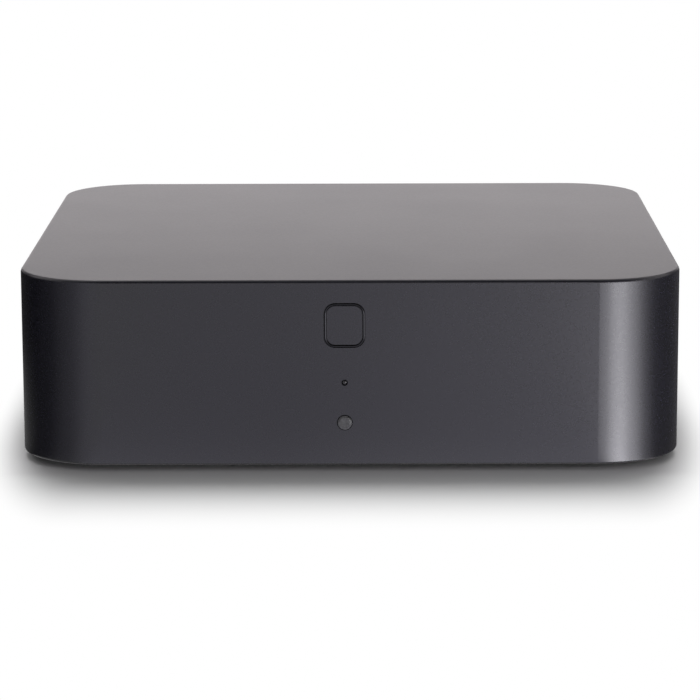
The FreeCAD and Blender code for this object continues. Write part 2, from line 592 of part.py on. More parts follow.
class Drawing:
    """A sketch on a plane of its own body, with every point tied to the sheet.

    On XY_Plane the sketch's axes are X and Y, and it looks along +Z. On XZ_Plane they are X and Z, and it
    looks along -Y, so its offset is minus the y that it lies at. On YZ_Plane they are Y and Z, along +X.
    """

    def __init__(self, body, name, plane="XY_Plane", offset="0"):
        self.sketch = body.newObject("Sketcher::SketchObject", name)
        self.sketch.AttachmentSupport = [(origin_part(body, plane), "")]
        self.sketch.MapMode = "FlatFace"
        bind(self.sketch, "AttachmentOffset.Base.z", offset)

    def hold(self, *constraint, text=None):
        """Adds one constraint, tied to an expression if there is one."""
        if text is not None:
            constraint += (number(text),)
        index = self.sketch.addConstraint(Sketcher.Constraint(*constraint))
        if text is not None:
            bind(self.sketch, f"Constraints[{index}]", text)

    def pin_down(self, geometry, point, x, y):
        """Ties a point of the drawing to its distances from the origin."""
        self.hold("DistanceX", -1, 1, geometry, point, text=x)
        self.hold("DistanceY", -1, 1, geometry, point, text=y)

    def circle(self, x, y, radius):
        """A full circle round a centre."""
        centre = Vector(number(x), number(y), 0)
        index = self.sketch.addGeometry(Part.Circle(centre, Vector(0, 0, 1), number(radius)), False)
        self.hold("Radius", index, text=radius)
        self.pin_down(index, 3, x, y)
        return self

    def outline(self, *corners):
        """A closed outline of corners (x, y).

        A corner (x, y, radius, centre x, centre y) is reached by an arc, and any other by a straight line.
        """
        points = [Vector(number(c[0]), number(c[1]), 0) for c in corners]
        strokes = [self.stroke(points[k - 1], points[k], c) for k, c in enumerate(corners)]
        for (last, (_, last_end)), (this, (start, end)), corner in zip(
            strokes[-1:] + strokes[:-1], strokes, corners
        ):
            self.hold("Coincident", this, start, last, last_end)
            self.pin_down(this, end, corner[0], corner[1])
            if len(corner) > 2:
                self.hold("Radius", this, text=corner[2])
        return self

    def stroke(self, start, end, corner):
        """Adds a line or an arc, and says which of its own ends is its start and which its end."""
        if len(corner) == 2:
            return self.sketch.addGeometry(Part.LineSegment(start, end), False), (1, 2)
        centre = Vector(number(corner[3]), number(corner[4]), 0)
        turns = [math.atan2(p.y - centre.y, p.x - centre.x) for p in (start, end)]
        ends = (1, 2)
        if math.remainder(turns[1] - turns[0], 2 * math.pi) < 0:
            turns.reverse()
            ends = (2, 1)
        circle = Part.Circle(centre, Vector(0, 0, 1), number(corner[2]))
        return self.sketch.addGeometry(Part.ArcOfCircle(circle, *turns), False), ends

    def rectangle(self, x, y, width, height):
        """A rectangle round a centre."""
        left, right = f"{x} - ({width})/2", f"{x} + ({width})/2"
        low, high = f"{y} - ({height})/2", f"{y} + ({height})/2"
        return self.outline((left, low), (right, low), (right, high), (left, high))

    def rounded(self, x, y, width, height, radius):
        """A rectangle with round corners, round a centre."""
        left, right = f"{x} - ({width})/2", f"{x} + ({width})/2"
        low, high = f"{y} - ({height})/2", f"{y} + ({height})/2"
        in_left, in_right = f"{left} + ({radius})", f"{right} - ({radius})"
        in_low, in_high = f"{low} + ({radius})", f"{high} - ({radius})"
        return self.outline(
            (in_right, low),
            (right, in_low, radius, in_right, in_low),
            (right, in_high),
            (in_right, high, radius, in_right, in_high),
            (in_left, high),
            (left, in_high, radius, in_left, in_high),
            (left, in_low),
            (in_left, low, radius, in_left, in_low),
        )

    def slot(self, x, y, width, height):
        """An upright slot with half-round ends, round a centre."""
        left, right = f"{x} - ({width})/2", f"{x} + ({width})/2"
        low, high = f"{y} - ({height} - {width})/2", f"{y} + ({height} - {width})/2"
        bottom, top = f"{y} - ({height})/2", f"{y} + ({height})/2"
        radius = f"({width})/2"
        return self.outline(
            (right, high),
            (x, top, radius, x, high),
            (left, high, radius, x, high),
            (left, low),
            (x, bottom, radius, x, low),
            (right, low, radius, x, low),
        )

    def cross(self, reach, half):
        """An upright cross round the origin."""
        return self.outline(
            (half, half),
            (reach, half),
            (reach, f"-({half})"),
            (half, f"-({half})"),
            (half, f"-({reach})"),
            (f"-({half})", f"-({reach})"),
            (f"-({half})", f"-({half})"),
            (f"-({reach})", f"-({half})"),
            (f"-({reach})", half),
            (f"-({half})", half),
            (f"-({half})", reach),
            (half, reach),
        )

    def four_circles(self, x, rear, radius, front=None):
        """A circle at -x and at x, at the rear and at the front, which is minus the rear if not given."""
        for sign in ("-", ""):
            self.circle(sign + x, rear, radius)
            self.circle(sign + x, front or "-" + rear, radius)
        return self


def feature(kind, body, drawing, length, reverse=False, midplane=False):
    """A Pad or a Pocket of a drawing."""
    before = body.Tip
    made = body.newObject("PartDesign::" + kind, drawing.sketch.Name + kind)
    made.Profile = drawing.sketch
    made.Reversed = reverse
    made.Midplane = midplane
    bind(made, "Length", length)
    doc.recompute()
    if kind == "Pocket":
        CUTS.append((made, before))
    return made


def pad(body, drawing, length, reverse=False, midplane=False):
    """A drawing raised the way that it looks, or the other way if reversed."""
    return feature("Pad", body, drawing, length, reverse, midplane)


def pocket(body, drawing, length, forward=False):
    """A drawing sunk the way that it doesn't look, or the way that it looks if forward."""
    return feature("Pocket", body, drawing, length, forward)


def turned(name, place, along, *corners):
    """A round piece: its half section, in (radius, height) from its place, turned about its axis."""
    body = new_body(name)
    section = Drawing(body, name + "Section", "XZ_Plane").outline(*corners)
    made = body.newObject("PartDesign::Revolution", name + "Turn")
    made.Profile = section.sketch
    made.ReferenceAxis = (section.sketch, ["V_Axis"])
    made.Angle = 360
    doc.recompute()
    body.Placement.Rotation = TURNS[along]
    return put_at(body, *place)


def row_of(body, one, direction, count, pitch):
    """Copies of a feature in a row, along an axis of its body."""
    made = body.newObject("PartDesign::LinearPattern", one.Name + "Row")
    made.Originals = [one]
    made.Direction = (origin_part(body, direction), [""])
    made.Mode = "Spacing"
    bind(made, "Occurrences", count)
    bind(made, "Offset", pitch)
    body.Tip = made
    doc.recompute()
    return made


def ring_of(body, one, direction, count):
    """Copies of a feature all round an axis of its body."""
    made = body.newObject("PartDesign::PolarPattern", one.Name + "Ring")
    made.Originals = [one]
    made.Axis = (origin_part(body, direction), [""])
    made.Angle = 360
    bind(made, "Occurrences", count)
    body.Tip = made
    doc.recompute()
    return made


def dress(body, kind, name, size, wanted):
    """A Fillet or Chamfer of those edges of a body's last feature whose box wanted() picks."""
    base = body.Tip
    edges = [f"Edge{k}" for k, e in enumerate(base.Shape.Edges, 1) if wanted(e.BoundBox)]
    made = body.newObject("PartDesign::" + kind, name)
    made.Base = (base, edges)
    bind(made, "Radius" if kind == "Fillet" else "Size", size)
    doc.recompute()
    return made


def flat_at(low, high, value):
    """True for an edge whose lowest and highest place along one axis are both a value."""
    return abs(low - value) < 1e-4 and abs(high - value) < 1e-4


def screw(name, place, along, head_radius, head_height, shank_radius, shank_length):
    """A screw with a cross in its flat head. Its place is where the head's underside meets the shank."""
    body = turned(
        name,
        place,
        along,
        ("0", f"-{head_height}"),
        (head_radius, f"-{head_height}"),
        (head_radius, "0"),
        (shank_radius, "0"),
        (shank_radius, shank_length),
        ("0", shank_length),
    )
    drive = Drawing(body, name + "Cross", offset=f"-{head_height}")
    pocket(body, drive.cross(f"{head_radius} - cross_margin", "cross_half"), "cross_depth", forward=True)
    return body


# Housing


def badge_band(drawing, gap):
    """The ring of the blank badge, or its groove, which is wider by a gap on each side."""
    drawing.rounded(
        "front_x",
        "badge_z",
        f"badge_width + 2*{gap}",
        f"badge_tall + 2*{gap}",
        f"badge_round + {gap}",
    )
    return drawing.rounded(
        "front_x",
        "badge_z",
        f"badge_width - 2*badge_band - 2*{gap}",
        f"badge_tall - 2*badge_band - 2*{gap}",
        f"badge_round - badge_band - {gap}",
    )


def front_holes(drawing, radius):
    """The two screws of the front board, one low on the left and one high on the right."""
    drawing.circle("front_x - front_hole_x", "front_hole_z1", radius)
    return drawing.circle("front_x + front_hole_x", "front_hole_z2", radius)


def board_holes(drawing, radius):
    """The four screws of the main board."""
    return drawing.four_circles("board_hole_x", "board_hole_y2", radius, "board_hole_y1")


def housing():
    """The moulded housing: roof and sides, with its posts, guides, openings and groove."""
    body = new_body("Housing")
    outline = Drawing(body, "HousingOutline", offset="foot_lift")
    outline.rounded("0", "0", "body_width", "body_depth", "corner_radius")
    pad(body, outline, "body_height")
    top, low = number("top"), number("foot_lift")
    dress(body, "Fillet", "TopRound", "top_round", lambda box: flat_at(box.ZMin, box.ZMax, top))
    dress(body, "Fillet", "BottomRound", "bottom_round", lambda box: flat_at(box.ZMin, box.ZMax, low))
    room = Drawing(body, "HousingRoom", offset="foot_lift")
    room.rounded("0", "0", "2*inner_x", "2*inner_y", "corner_radius - side_wall")
    pocket(body, room, "body_height - roof_wall", forward=True)
    housing_posts(body)
    housing_front(body)
    housing_rear(body)
    return sub_part(body, "housing")


def housing_posts(body):
    """The posts for the base plate, the main board and the front board, with their pilot holes."""
    posts = Drawing(body, "BasePosts", offset="base_top")
    posts.four_circles("base_screw_x", "base_screw_y", "base_post_radius")
    pad(body, posts, "roof - base_top")
    posts = Drawing(body, "BoardPosts", offset="board_top")
    pad(body, board_holes(posts, "board_post_radius"), "roof - board_top")
    posts = Drawing(body, "FrontBoardPosts", "XZ_Plane", "-front_board_y")
    pad(body, front_holes(posts, "front_post_radius"), "front_board_y + inner_y")

    holes = Drawing(body, "BasePilots", offset="base_top")
    holes.four_circles("base_screw_x", "base_screw_y", "base_screw_radius + screw_gap")
    pocket(body, holes, "base_screw_grip + pilot_spare", forward=True)
    holes = Drawing(body, "BoardPilots", offset="board_top")
    board_holes(holes, "board_screw_radius + screw_gap")
    pocket(body, holes, "board_screw_grip + pilot_spare", forward=True)
    holes = Drawing(body, "FrontBoardPilots", "XZ_Plane", "-front_board_y")
    front_holes(holes, "front_screw_radius + screw_gap")
    pocket(body, holes, "front_screw_grip + pilot_spare", forward=True)


def housing_front(body):
    """The holes for the button and the light, and the groove for the badge's ring."""
    holes = Drawing(body, "FrontHoles", "XZ_Plane", "body_depth/2")
    holes.circle("front_x", "button_z", "button_radius + button_gap")
    holes.circle("front_x", "light_z", "light_radius + light_gap")
    pocket(body, holes, "side_wall")
    groove = Drawing(body, "BadgeGroove", "XZ_Plane", "body_depth/2")
    pocket(body, badge_band(groove, "badge_gap"), "badge_sink")


def housing_rear(body):
    """The window in the rear wall, and the two L-shaped guides for the rear panel."""
    window = Drawing(body, "RearWindow", "XZ_Plane", "-body_depth/2")
    height = "window_high - window_low"
    window.rounded("0", "(window_low + window_high)/2", "2*window_half", height, "window_round")
    pocket(body, window, "side_wall", forward=True)
    for side, sign in (("Left", "-"), ("Right", "")):
        guide = Drawing(body, side + "Guide", offset="base_top")
        outside, inside = f"{sign}(flat_half + guide_wall)", f"{sign}flat_half"
        lip = f"{sign}(panel_half - guide_lip)"
        guide.outline(
            (outside, "inner_y + guide_root"),
            (inside, "inner_y + guide_root"),
            (inside, "panel_in - panel_side_gap"),
            (lip, "panel_in - panel_side_gap"),
            (lip, "panel_in - panel_side_gap - guide_wall"),
            (outside, "panel_in - panel_side_gap - guide_wall"),
        )
        pad(body, guide, "roof - base_top")


# Base plate, feet and screws


def base_plate():
    """The base plate, with pockets for the feet, sunk screw holes, vents and a blank label field."""
    body = new_body("BasePlate")
    outline = Drawing(body, "BaseOutline", offset="base_low")
    width, depth = "2*(inner_x - base_gap)", "2*(inner_y - base_gap)"
    outline.rounded("0", "0", width, depth, "corner_radius - side_wall - base_gap")
    pad(body, outline, "base_thickness")

    pockets = Drawing(body, "FootPockets", offset="base_low")
    pockets.four_circles("foot_x", "foot_y", "foot_radius + foot_gap")
    pocket(body, pockets, "foot_pocket", forward=True)
    sinks = Drawing(body, "HeadSinks", offset="base_low")
    sinks.four_circles("base_screw_x", "base_screw_y", "base_head_radius + head_gap")
    pocket(body, sinks, "base_head_height", forward=True)
    holes = Drawing(body, "BaseHoles", offset="base_low")
    holes.four_circles("base_screw_x", "base_screw_y", "base_screw_radius + hole_gap")
    pocket(body, holes, "base_thickness", forward=True)
    label = Drawing(body, "LabelField", offset="base_low")
    label.rounded("0", "label_y", "label_width", "label_depth", "label_round")
    pocket(body, label, "label_sink", forward=True)

    vent = Drawing(body, "VentSlot", offset="base_low")
    vent.slot("-(vent_count - 1)*vent_pitch/2", "vent_y", "vent_width", "vent_length")
    row_of(body, pocket(body, vent, "base_thickness", forward=True), "X_Axis", "vent_count", "vent_pitch")
    return sub_part(body, "base_plate")


def feet():
    """Four round rubber feet, each glued into its pocket in the base plate."""
    high = "base_low + foot_pocket"
    for end, y in (("front", "-foot_y"), ("rear", "foot_y")):
        for side, x in (("left", "-foot_x"), ("right", "foot_x")):
            node = f"foot_{end}_{side}"
            made = turned(
                title(node),
                (x, y, "0"),
                "+z",
                ("0", "0"),
                ("foot_radius - foot_bevel", "0"),
                ("foot_radius", "foot_bevel"),
                ("foot_radius", high),
                ("0", high),
            )
            sub_part(made, node)


def base_screws():
    """Four screws that hold the base plate to the housing."""
    made = []
    for x in ("-base_screw_x", "base_screw_x"):
        for y in ("-base_screw_y", "base_screw_y"):
            made.append(
                screw(
                    f"BaseScrew{len(made) + 1}",
                    (x, y, "base_low + base_head_height"),
                    "+z",
                    "base_head_radius",
                    "base_head_height",
                    "base_screw_radius",
                    "base_thickness - base_head_height + base_screw_grip",
                )
            )
    return sub_part(group("BaseScrews", *made), "base_screws")


# Front: badge, button, light and their board


def badge_ring():
    """The polished ring round the blank badge."""
    body = new_body("BadgeRing")
    ring = Drawing(body, "BadgeBand", "XZ_Plane", "body_depth/2 + badge_proud")
    pad(body, badge_band(ring, "0"), "badge_sink + badge_proud", reverse=True)
    face = -number("body_depth/2 + badge_proud")
    dress(body, "Chamfer", "BadgeBevel", "badge_bevel", lambda box: flat_at(box.YMin, box.YMax, face))
    return sub_part(body, "badge_ring")


def button_cap():
    """The push button, with the flange that keeps it in and the stem that presses the switch."""
    made = turned(
        "ButtonCap",
        ("front_x", "-body_depth/2", "button_z"),
        "+y",
        ("0", "-button_proud"),
        ("button_radius - button_rim", "-button_proud"),
        ("button_radius", "button_dome - button_proud"),
        ("button_radius", "side_wall"),
        ("flange_radius", "side_wall"),
        ("flange_radius", "flange_end"),
        ("stem_radius", "flange_end"),
        ("stem_radius", "flange_end + stem_length"),
        ("0", "flange_end + stem_length"),
    )
    return sub_part(made, "button_cap")


def light_pipe():
    """The clear pipe that carries the status light to the front."""
    tail = "front_board_y + body_depth/2 - led_depth - led_gap"
    made = turned(
        "LightPipe",
        ("front_x", "-body_depth/2", "light_z"),
        "+y",
        ("0", "-light_proud"),
        ("light_radius - light_bevel", "-light_proud"),
        ("light_radius", "light_bevel - light_proud"),
        ("light_radius", "side_wall"),
        ("light_collar", "side_wall"),
        ("light_collar", "side_wall + light_collar_depth"),
        ("light_core", "side_wall + light_collar_depth"),
        ("light_core", tail),
        ("0", tail),
    )
    return sub_part(made, "light_pipe")


def status_led():
    """The emitter behind the light pipe, on the front board."""
    size = ("led_size", "led_depth", "led_size")
    made = block("StatusLed", "front_x", "front_board_y - led_depth/2", "light_z - led_size/2", size)
    return sub_part(made, "status_led")


def front_switch():
    """The push switch behind the button, and the plunger that sinks into it."""
    size = ("switch_size", "switch_depth", "switch_size")
    middle = "switch_y + switch_depth/2"
    whole = block("SwitchBlock", "front_x", middle, "button_z - switch_size/2", size)
    depth = "plunger_sink + switch_travel + switch_spare"
    room = rod("PlungerRoom", "front_x", "switch_y", "button_z", "plunger_radius + plunger_gap", depth, "+y")
    sub_part(cut("SwitchBody", whole, room), "switch_body")
    reach = "plunger_proud + plunger_sink"
    plunger = rod("SwitchPlunger", "front_x", "stem_end", "button_z", "plunger_radius", reach, "+y")
    sub_part(plunger, "switch_plunger")


def front_board():
    """The small upright board behind the front, and the two screws that hold it."""
    body = new_body("FrontBoard")
    outline = Drawing(body, "FrontBoardOutline", "XZ_Plane", "-front_board_y")
    middle, height = "(front_low + front_high)/2", "front_high - front_low"
    outline.rounded("front_x", middle, "front_board_width", height, "front_board_round")
    pad(body, outline, "front_board_thickness", reverse=True)
    holes = Drawing(body, "FrontBoardHoles", "XZ_Plane", "-front_board_y")
    pocket(body, front_holes(holes, "front_screw_radius + hole_gap"), "front_board_thickness")
    sub_part(body, "front_board")

    made = [
        screw(
            f"FrontScrew{k}",
            (x, "front_back_y", z),
            "-y",
            "front_head_radius",
            "front_head_height",
            "front_screw_radius",
            "front_board_thickness + front_screw_grip",
        )
        for k, (x, z) in enumerate(
            (("front_x - front_hole_x", "front_hole_z1"), ("front_x + front_hole_x", "front_hole_z2")), 1
        )
    ]
    sub_part(group("FrontBoardScrews", *made), "front_board_screws")


def ribbon():
    """The two ribbon sockets, and the flat cable that bends from one down to the other."""
    size = ("socket_width", "socket_height", "socket_reach")
    front = block("FrontSocket", "front_x", "front_back_y + socket_height/2", "ribbon_top", size)
    size = ("socket_width", "socket_reach", "socket_height")
    rear = block("BoardSocket", "front_x", "board_socket_y + socket_reach/2", "board_top", size)
    sub_part(group("RibbonSockets", front, rear), "ribbon_sockets")

    body = new_body("RibbonCable")
    section = Drawing(body, "RibbonSection", "YZ_Plane", "front_x")
    near = "front_back_y + ribbon_height - ribbon_thickness/2"
    far = "front_back_y + ribbon_height + ribbon_thickness/2"
    low = "board_top + ribbon_height - ribbon_thickness/2"
    high = "board_top + ribbon_height + ribbon_thickness/2"
    bend_y, bend_z = f"{far} + ribbon_bend", f"{high} + ribbon_bend"
    section.outline(
        (near, "ribbon_top"),
        (near, bend_z),
        (bend_y, low, "ribbon_bend + ribbon_thickness", bend_y, bend_z),
        ("board_socket_y", low),
        ("board_socket_y", high),
        (bend_y, high),
        (far, bend_z, "ribbon_bend", bend_y, bend_z),
        (far, "ribbon_top"),
    )
    pad(body, section, "ribbon_width", midplane=True)
    return sub_part(body, "ribbon_cable")


# Main board and what stands on it

# Where the heat sink's two push pins go through the board
PUSH_PINS = (("-push_pin_x", "push_pin_x"), ("push_pin_x", "-push_pin_x"))


def push_pin_holes(drawing):
    for x, y in PUSH_PINS:
        drawing.circle(x, y, "push_pin_radius + push_pin_gap")
    return drawing


def main_board():
    """The main board, and the four screws that hold it up to the housing's posts."""
    body = new_body("MainBoard")
    outline = Drawing(body, "BoardOutline", offset="board_low")
    outline.rounded("0", "(board_front + board_rear)/2", "2*board_half", "board_depth", "board_round")
    pad(body, outline, "board_thickness")
    holes = Drawing(body, "BoardHoles", offset="board_low")
    board_holes(holes, "board_screw_radius + hole_gap")
    pocket(body, push_pin_holes(holes), "board_thickness", forward=True)
    sub_part(body, "main_board")

    made = []
    for x in ("-board_hole_x", "board_hole_x"):
        for y in ("board_hole_y1", "board_hole_y2"):
            made.append(
                screw(
                    f"BoardScrew{len(made) + 1}",
                    (x, y, "board_low"),
                    "+z",
                    "board_head_radius",
                    "board_head_height",
                    "board_screw_radius",
                    "board_thickness + board_screw_grip",
                )
            )
    sub_part(group("MainBoardScrews", *made), "main_board_screws")


def processor():
    """The processor, and the soft pad that carries its heat to the heat sink."""
    size = ("chip_size", "chip_size", "chip_height")
    sub_part(block("Processor", "0", "0", "board_top", size), "processor")
    size = ("pad_size", "pad_size", "pad_thickness")
    sub_part(block("ThermalPad", "0", "0", "chip_top", size), "thermal_pad")


def heat_sink():
    """The finned heat sink, and the two push pins that hold it down."""
    body = new_body("HeatSink")
    base = Drawing(body, "SinkBase", offset="sink_low")
    pad(body, base.rectangle("0", "0", "sink_width", "sink_width"), "sink_base")
    fin = Drawing(body, "SinkFin", offset="sink_top")
    fin.rectangle("-(fin_count - 1)*fin_pitch/2", "0", "fin_thickness", "sink_width")
    row_of(body, pad(body, fin, "fin_height"), "X_Axis", "fin_count", "fin_pitch")
    holes = Drawing(body, "SinkHoles", offset="sink_low")
    pocket(body, push_pin_holes(holes), "sink_base", forward=True)
    sub_part(body, "heat_sink")

    made = [
        turned(
            f"PushPin{k}",
            (x, y, "board_low"),
            "+z",
            ("0", "-push_pin_barb"),
            ("push_pin_tip", "-push_pin_barb"),
            ("push_pin_spread", "0"),
            ("push_pin_radius", "0"),
            ("push_pin_radius", "sink_top - board_low"),
            ("push_pin_head", "sink_top - board_low"),
            ("push_pin_head", "sink_top - board_low + push_pin_cap"),
            ("0", "sink_top - board_low + push_pin_cap"),
        )
        for k, (x, y) in enumerate(PUSH_PINS, 1)
    ]
    sub_part(group("HeatSinkPins", *made), "heat_sink_pins")


def on_board(node, size, *places):
    """A group of like boxes that stand on the main board."""
    made = [block(f"{title(node)}{k}", x, y, "board_top", size) for k, (x, y) in enumerate(places, 1)]
    return sub_part(group(title(node), *made), node)


def small_parts():
    """The chips, crystals, coils and transformer on the main board."""
    size = ("memory_width", "memory_depth", "memory_height")
    on_board("memory_chips", size, ("memory_x", "-memory_pitch/2"), ("memory_x", "memory_pitch/2"))
    on_board(
        "audio_chips",
        ("audio_size", "audio_size", "audio_height"),
        ("audio_x", "audio_y"),
        ("audio_x - audio_pitch", "audio_y"),
        ("audio_x", "audio_y - audio_pitch"),
    )
    size = ("crystal_width", "crystal_depth", "crystal_height")
    on_board("crystals", size, ("crystal_x", "-crystal_pitch/2"), ("crystal_x", "crystal_pitch/2"))
    on_board("power_inductors", ("coil_size", "coil_size", "coil_height"), *supply_pair("coil_x"))
    size = ("network_width", "transformer_depth", "transformer_height")
    y = "network_rear - transformer_gap - transformer_depth/2"
    sub_part(block("NetworkTransformer", "network_x", y, "board_top", size), "network_transformer")


def supply_pair(x):
    """Two places of the power supply, one behind the other."""
    return (x, "supply_y - supply_pitch/2"), (x, "supply_y + supply_pitch/2")


def capacitors():
    """Four upright electrolytic capacitors, each on its square plastic foot."""
    outputs = [(f"output_x {sign} supply_pitch/2", "output_y") for sign in "-+"]
    side = "2*capacitor_radius + 2*capacitor_rim"
    made = []
    for k, (x, y) in enumerate([*outputs, *supply_pair("supply_x")], 1):
        seat = block(f"CapacitorSeat{k}", x, y, "board_top", (side, side, "capacitor_seat"))
        can = rod(f"CapacitorCan{k}", x, y, "board_top", "capacitor_radius", "capacitor_height")
        made.append(join(f"Capacitor{k}", seat, can))
    return sub_part(group("Capacitors", *made), "electrolytic_capacitors")


# Wireless board, aerials and their leads


def wireless():
    """The wireless board with the seats of the two aerial plugs, and its tin shield."""
    size = ("radio_width", "radio_depth", "radio_thickness")
    board = block("RadioBoard", "radio_x", "radio_y", "board_top", size)
    seats = [
        rod("PlugSeat" + title(plug), plug, "plug_y", "radio_top", "plug_seat_radius", "plug_seat")
        for plug in ("plug_left", "plug_right")
    ]
    sub_part(join("WirelessBoard", board, *seats), "wireless_board")

    size = ("shield_width", "shield_depth", "shield_height")
    can = block("ShieldCan", "radio_x", "shield_y", "radio_top", size)
    inside = [f"{text} - 2*sheet_thickness" for text in size[:2]] + ["shield_height - sheet_thickness"]
    room = block("ShieldRoom", "radio_x", "shield_y", "radio_top", inside)
    sub_part(cut("WirelessShield", can, room), "wireless_shield")


def aerials():
    """The two flat aerials, stuck to the inside of the side walls."""
    size = ("aerial_thickness", "aerial_length", "aerial_height")
    for side, sign in (("left", "-"), ("right", "")):
        x = f"{sign}(inner_x - aerial_thickness/2)"
        sub_part(block("Aerial" + side.title(), x, "aerial_y", "aerial_low", size), f"aerial_{side}")


def route(points):
    """A wire of straight runs joined by tangent arcs, each as large as its two runs allow."""
    edges, start = [], points[0]
    for before, corner, after in zip(points, points[1:], points[2:]):
        back, ahead = before - corner, after - corner
        reach = 0.45 * min(back.Length, ahead.Length)
        half_turn = (math.pi - back.getAngle(ahead)) / 2
        radius = reach / math.tan(half_turn)
        print(f"  bend of {math.degrees(2 * half_turn):.0f} degrees, radius {radius:.1f}")
        back.normalize()
        ahead.normalize()
        first, last = corner + back * reach, corner + ahead * reach
        middle = corner + (back + ahead).normalize() * (radius / math.cos(half_turn) - radius)
        edges.append(Part.LineSegment(start, first).toShape())
        edges.append(Part.Arc(first, middle, last).toShape())
        start = last
    edges.append(Part.LineSegment(start, points[-1]).toShape())
    return Part.Wire(edges)


def aerial_lead(node, plug, side, way):
    """An aerial's thin lead, with the round plug on its board end.

    Each corner of its way is given in shares of the way across, to the rear and up, with the name of the
    level that it rises from.
    """
    points = []
    for across, rearward, level, up in way:
        x = f"{plug} + ({side}*lead_wall - {plug})*{across}"
        y = f"plug_y + (aerial_y + lead_join - plug_y)*{rearward}"
        z = f"{level} + (lead_end - {level})*{up}"
        points.append(Vector(number(x), number(y), number(z)))
    path = route(points)
    radius = number("lead_radius")
    ring = Part.Wire(Part.Circle(points[0], points[1] - points[0], radius).toShape())
    tube = path.makePipeShell([ring], True, False)
    expected = math.pi * radius**2 * path.Length
    print(f"  {node}: volume {tube.Volume:.2f}, section times length {expected:.2f}")
    seat = Vector(number(plug), number("plug_y"), number("plug_z"))
    made = doc.addObject("Part::Feature", title(node))
    made.Shape = tube.fuse(Part.makeCylinder(number("plug_radius"), number("plug_height"), seat))
    made.Placement = FreeCAD.Placement()
    return sub_part(made, node)


# The left lead runs straight out to its aerial, the right one round the heat sink
LEFT_WAY = (
    (0, 0, "lead_high", 0),
    (0.41, 0, "lead_high", 0),
    (0.72, 0.2, "lead_high", 0.1),
    (1, 0.53, "lead_high", 0.49),
    (1, 1, "lead_high", 1),
)
RIGHT_WAY = (
    (0, 0, "lead_high", 0),
    (0.12, -0.16, "lead_high", 0),
    (0.25, -0.26, "lead_low", 0.04),
    (0.435, -0.3, "lead_low", 0),
    (0.63, -0.2, "lead_low", 0),
    (0.805, 0.07, "lead_low", 0.03),
    (0.925, 0.47, "lead_high", 0.07),
    (1, 0.73, "lead_high", 0.49),
    (1, 1, "lead_high", 1),
)


def aerial_leads():
    aerial_lead("aerial_lead_left", "plug_left", -1, LEFT_WAY)
    aerial_lead("aerial_lead_right", "plug_right", 1, RIGHT_WAY)


# Rear panel and its jacks

# Each jack with a rectangular mouth: its middle, its underside, its width and its height
SQUARE_JACKS = (
    ("network_x", "board_top", "network_width", "network_height"),
    ("data_x", "data_z", "data_width", "data_height"),
    ("video_x", "video_z", "video_width", "video_height"),
    ("optical_x", "board_top", "optical_width", "optical_height"),
)

# Each phono jack: the name of its pieces, its middle and its axis
PHONO_JACKS = (
    ("Coax", "coax_x", "phono_z1"),
    ("Right", "stereo_x", "phono_z1"),
    ("Left", "stereo_x", "phono_z2"),
)

# The screws that hold the rear panel to the lugs on the power jack and on the optical jack
JACK_SCREWS = (("power_x", "power_screw_z"), ("optical_x", "optical_screw_z"))


def rear_panel():
    """The rear panel, with a hole for each jack, the ground terminal and each screw."""
    body = new_body("RearPanel")
    plate = Drawing(body, "PanelOutline", "XZ_Plane", "-inner_y")
    plate.rectangle("0", "(base_top + roof)/2", "2*panel_half", "roof - base_top - 2*panel_end_gap")
    pad(body, plate, "panel_thickness")
    holes = Drawing(body, "PanelHoles", "XZ_Plane", "-inner_y")
    for x, low, width, height in SQUARE_JACKS:
        holes.rectangle(x, f"{low} + {height}/2", f"{width} + 2*cutout_gap", f"{height} + 2*cutout_gap")
    for _, x, z in PHONO_JACKS:
        holes.circle(x, z, "phono_boss + phono_boss_gap")
    for x, z in JACK_SCREWS:
        holes.circle(x, z, "jack_screw_radius + hole_gap")
    holes.circle("power_x", "power_z", "power_nose + cutout_gap")
    holes.circle("coax_x", "phono_z2", "ground_radius + hole_gap")
    pocket(body, holes, "panel_thickness", forward=True)
    sub_part(body, "rear_panel")

    made = [
        screw(
            f"JackScrew{k}",
            (x, "inner_y", z),
            "-y",
            "jack_head_radius",
            "jack_head_height",
            "jack_screw_radius",
            "panel_thickness + jack_screw_grip",
        )
        for k, (x, z) in enumerate(JACK_SCREWS, 1)
    ]
    sub_part(group("JackScrews", *made), "jack_screws")


def jack_lug(name, x, low):
    """The lug on a jack that takes a rear panel screw."""
    return block(name, x, "panel_in - lug_depth/2", low, ("lug_width", "lug_depth", "lug_height"))


def jack_pilot(name, x, z):
    """The pilot hole of a rear panel screw, in the jack that it holds to."""
    depth = "(jack_screw_grip + pilot_spare)"
    return rod(name, x, f"panel_in - {depth}", z, "jack_screw_radius + screw_gap", depth, "+y")


def hollow_shell(name, x, z, width, depth, height):
    """A sheet metal box, open towards the rear."""
    outer = block(name + "Outer", x, f"jack_face - {depth}/2", z, (width, depth, height))
    size = (f"{width} - 2*sheet_thickness", f"{depth} - sheet_thickness", f"{height} - 2*sheet_thickness")
    middle = f"jack_face - ({depth} - sheet_thickness)/2"
    return cut(name, outer, block(name + "Room", x, middle, f"{z} + sheet_thickness", size))


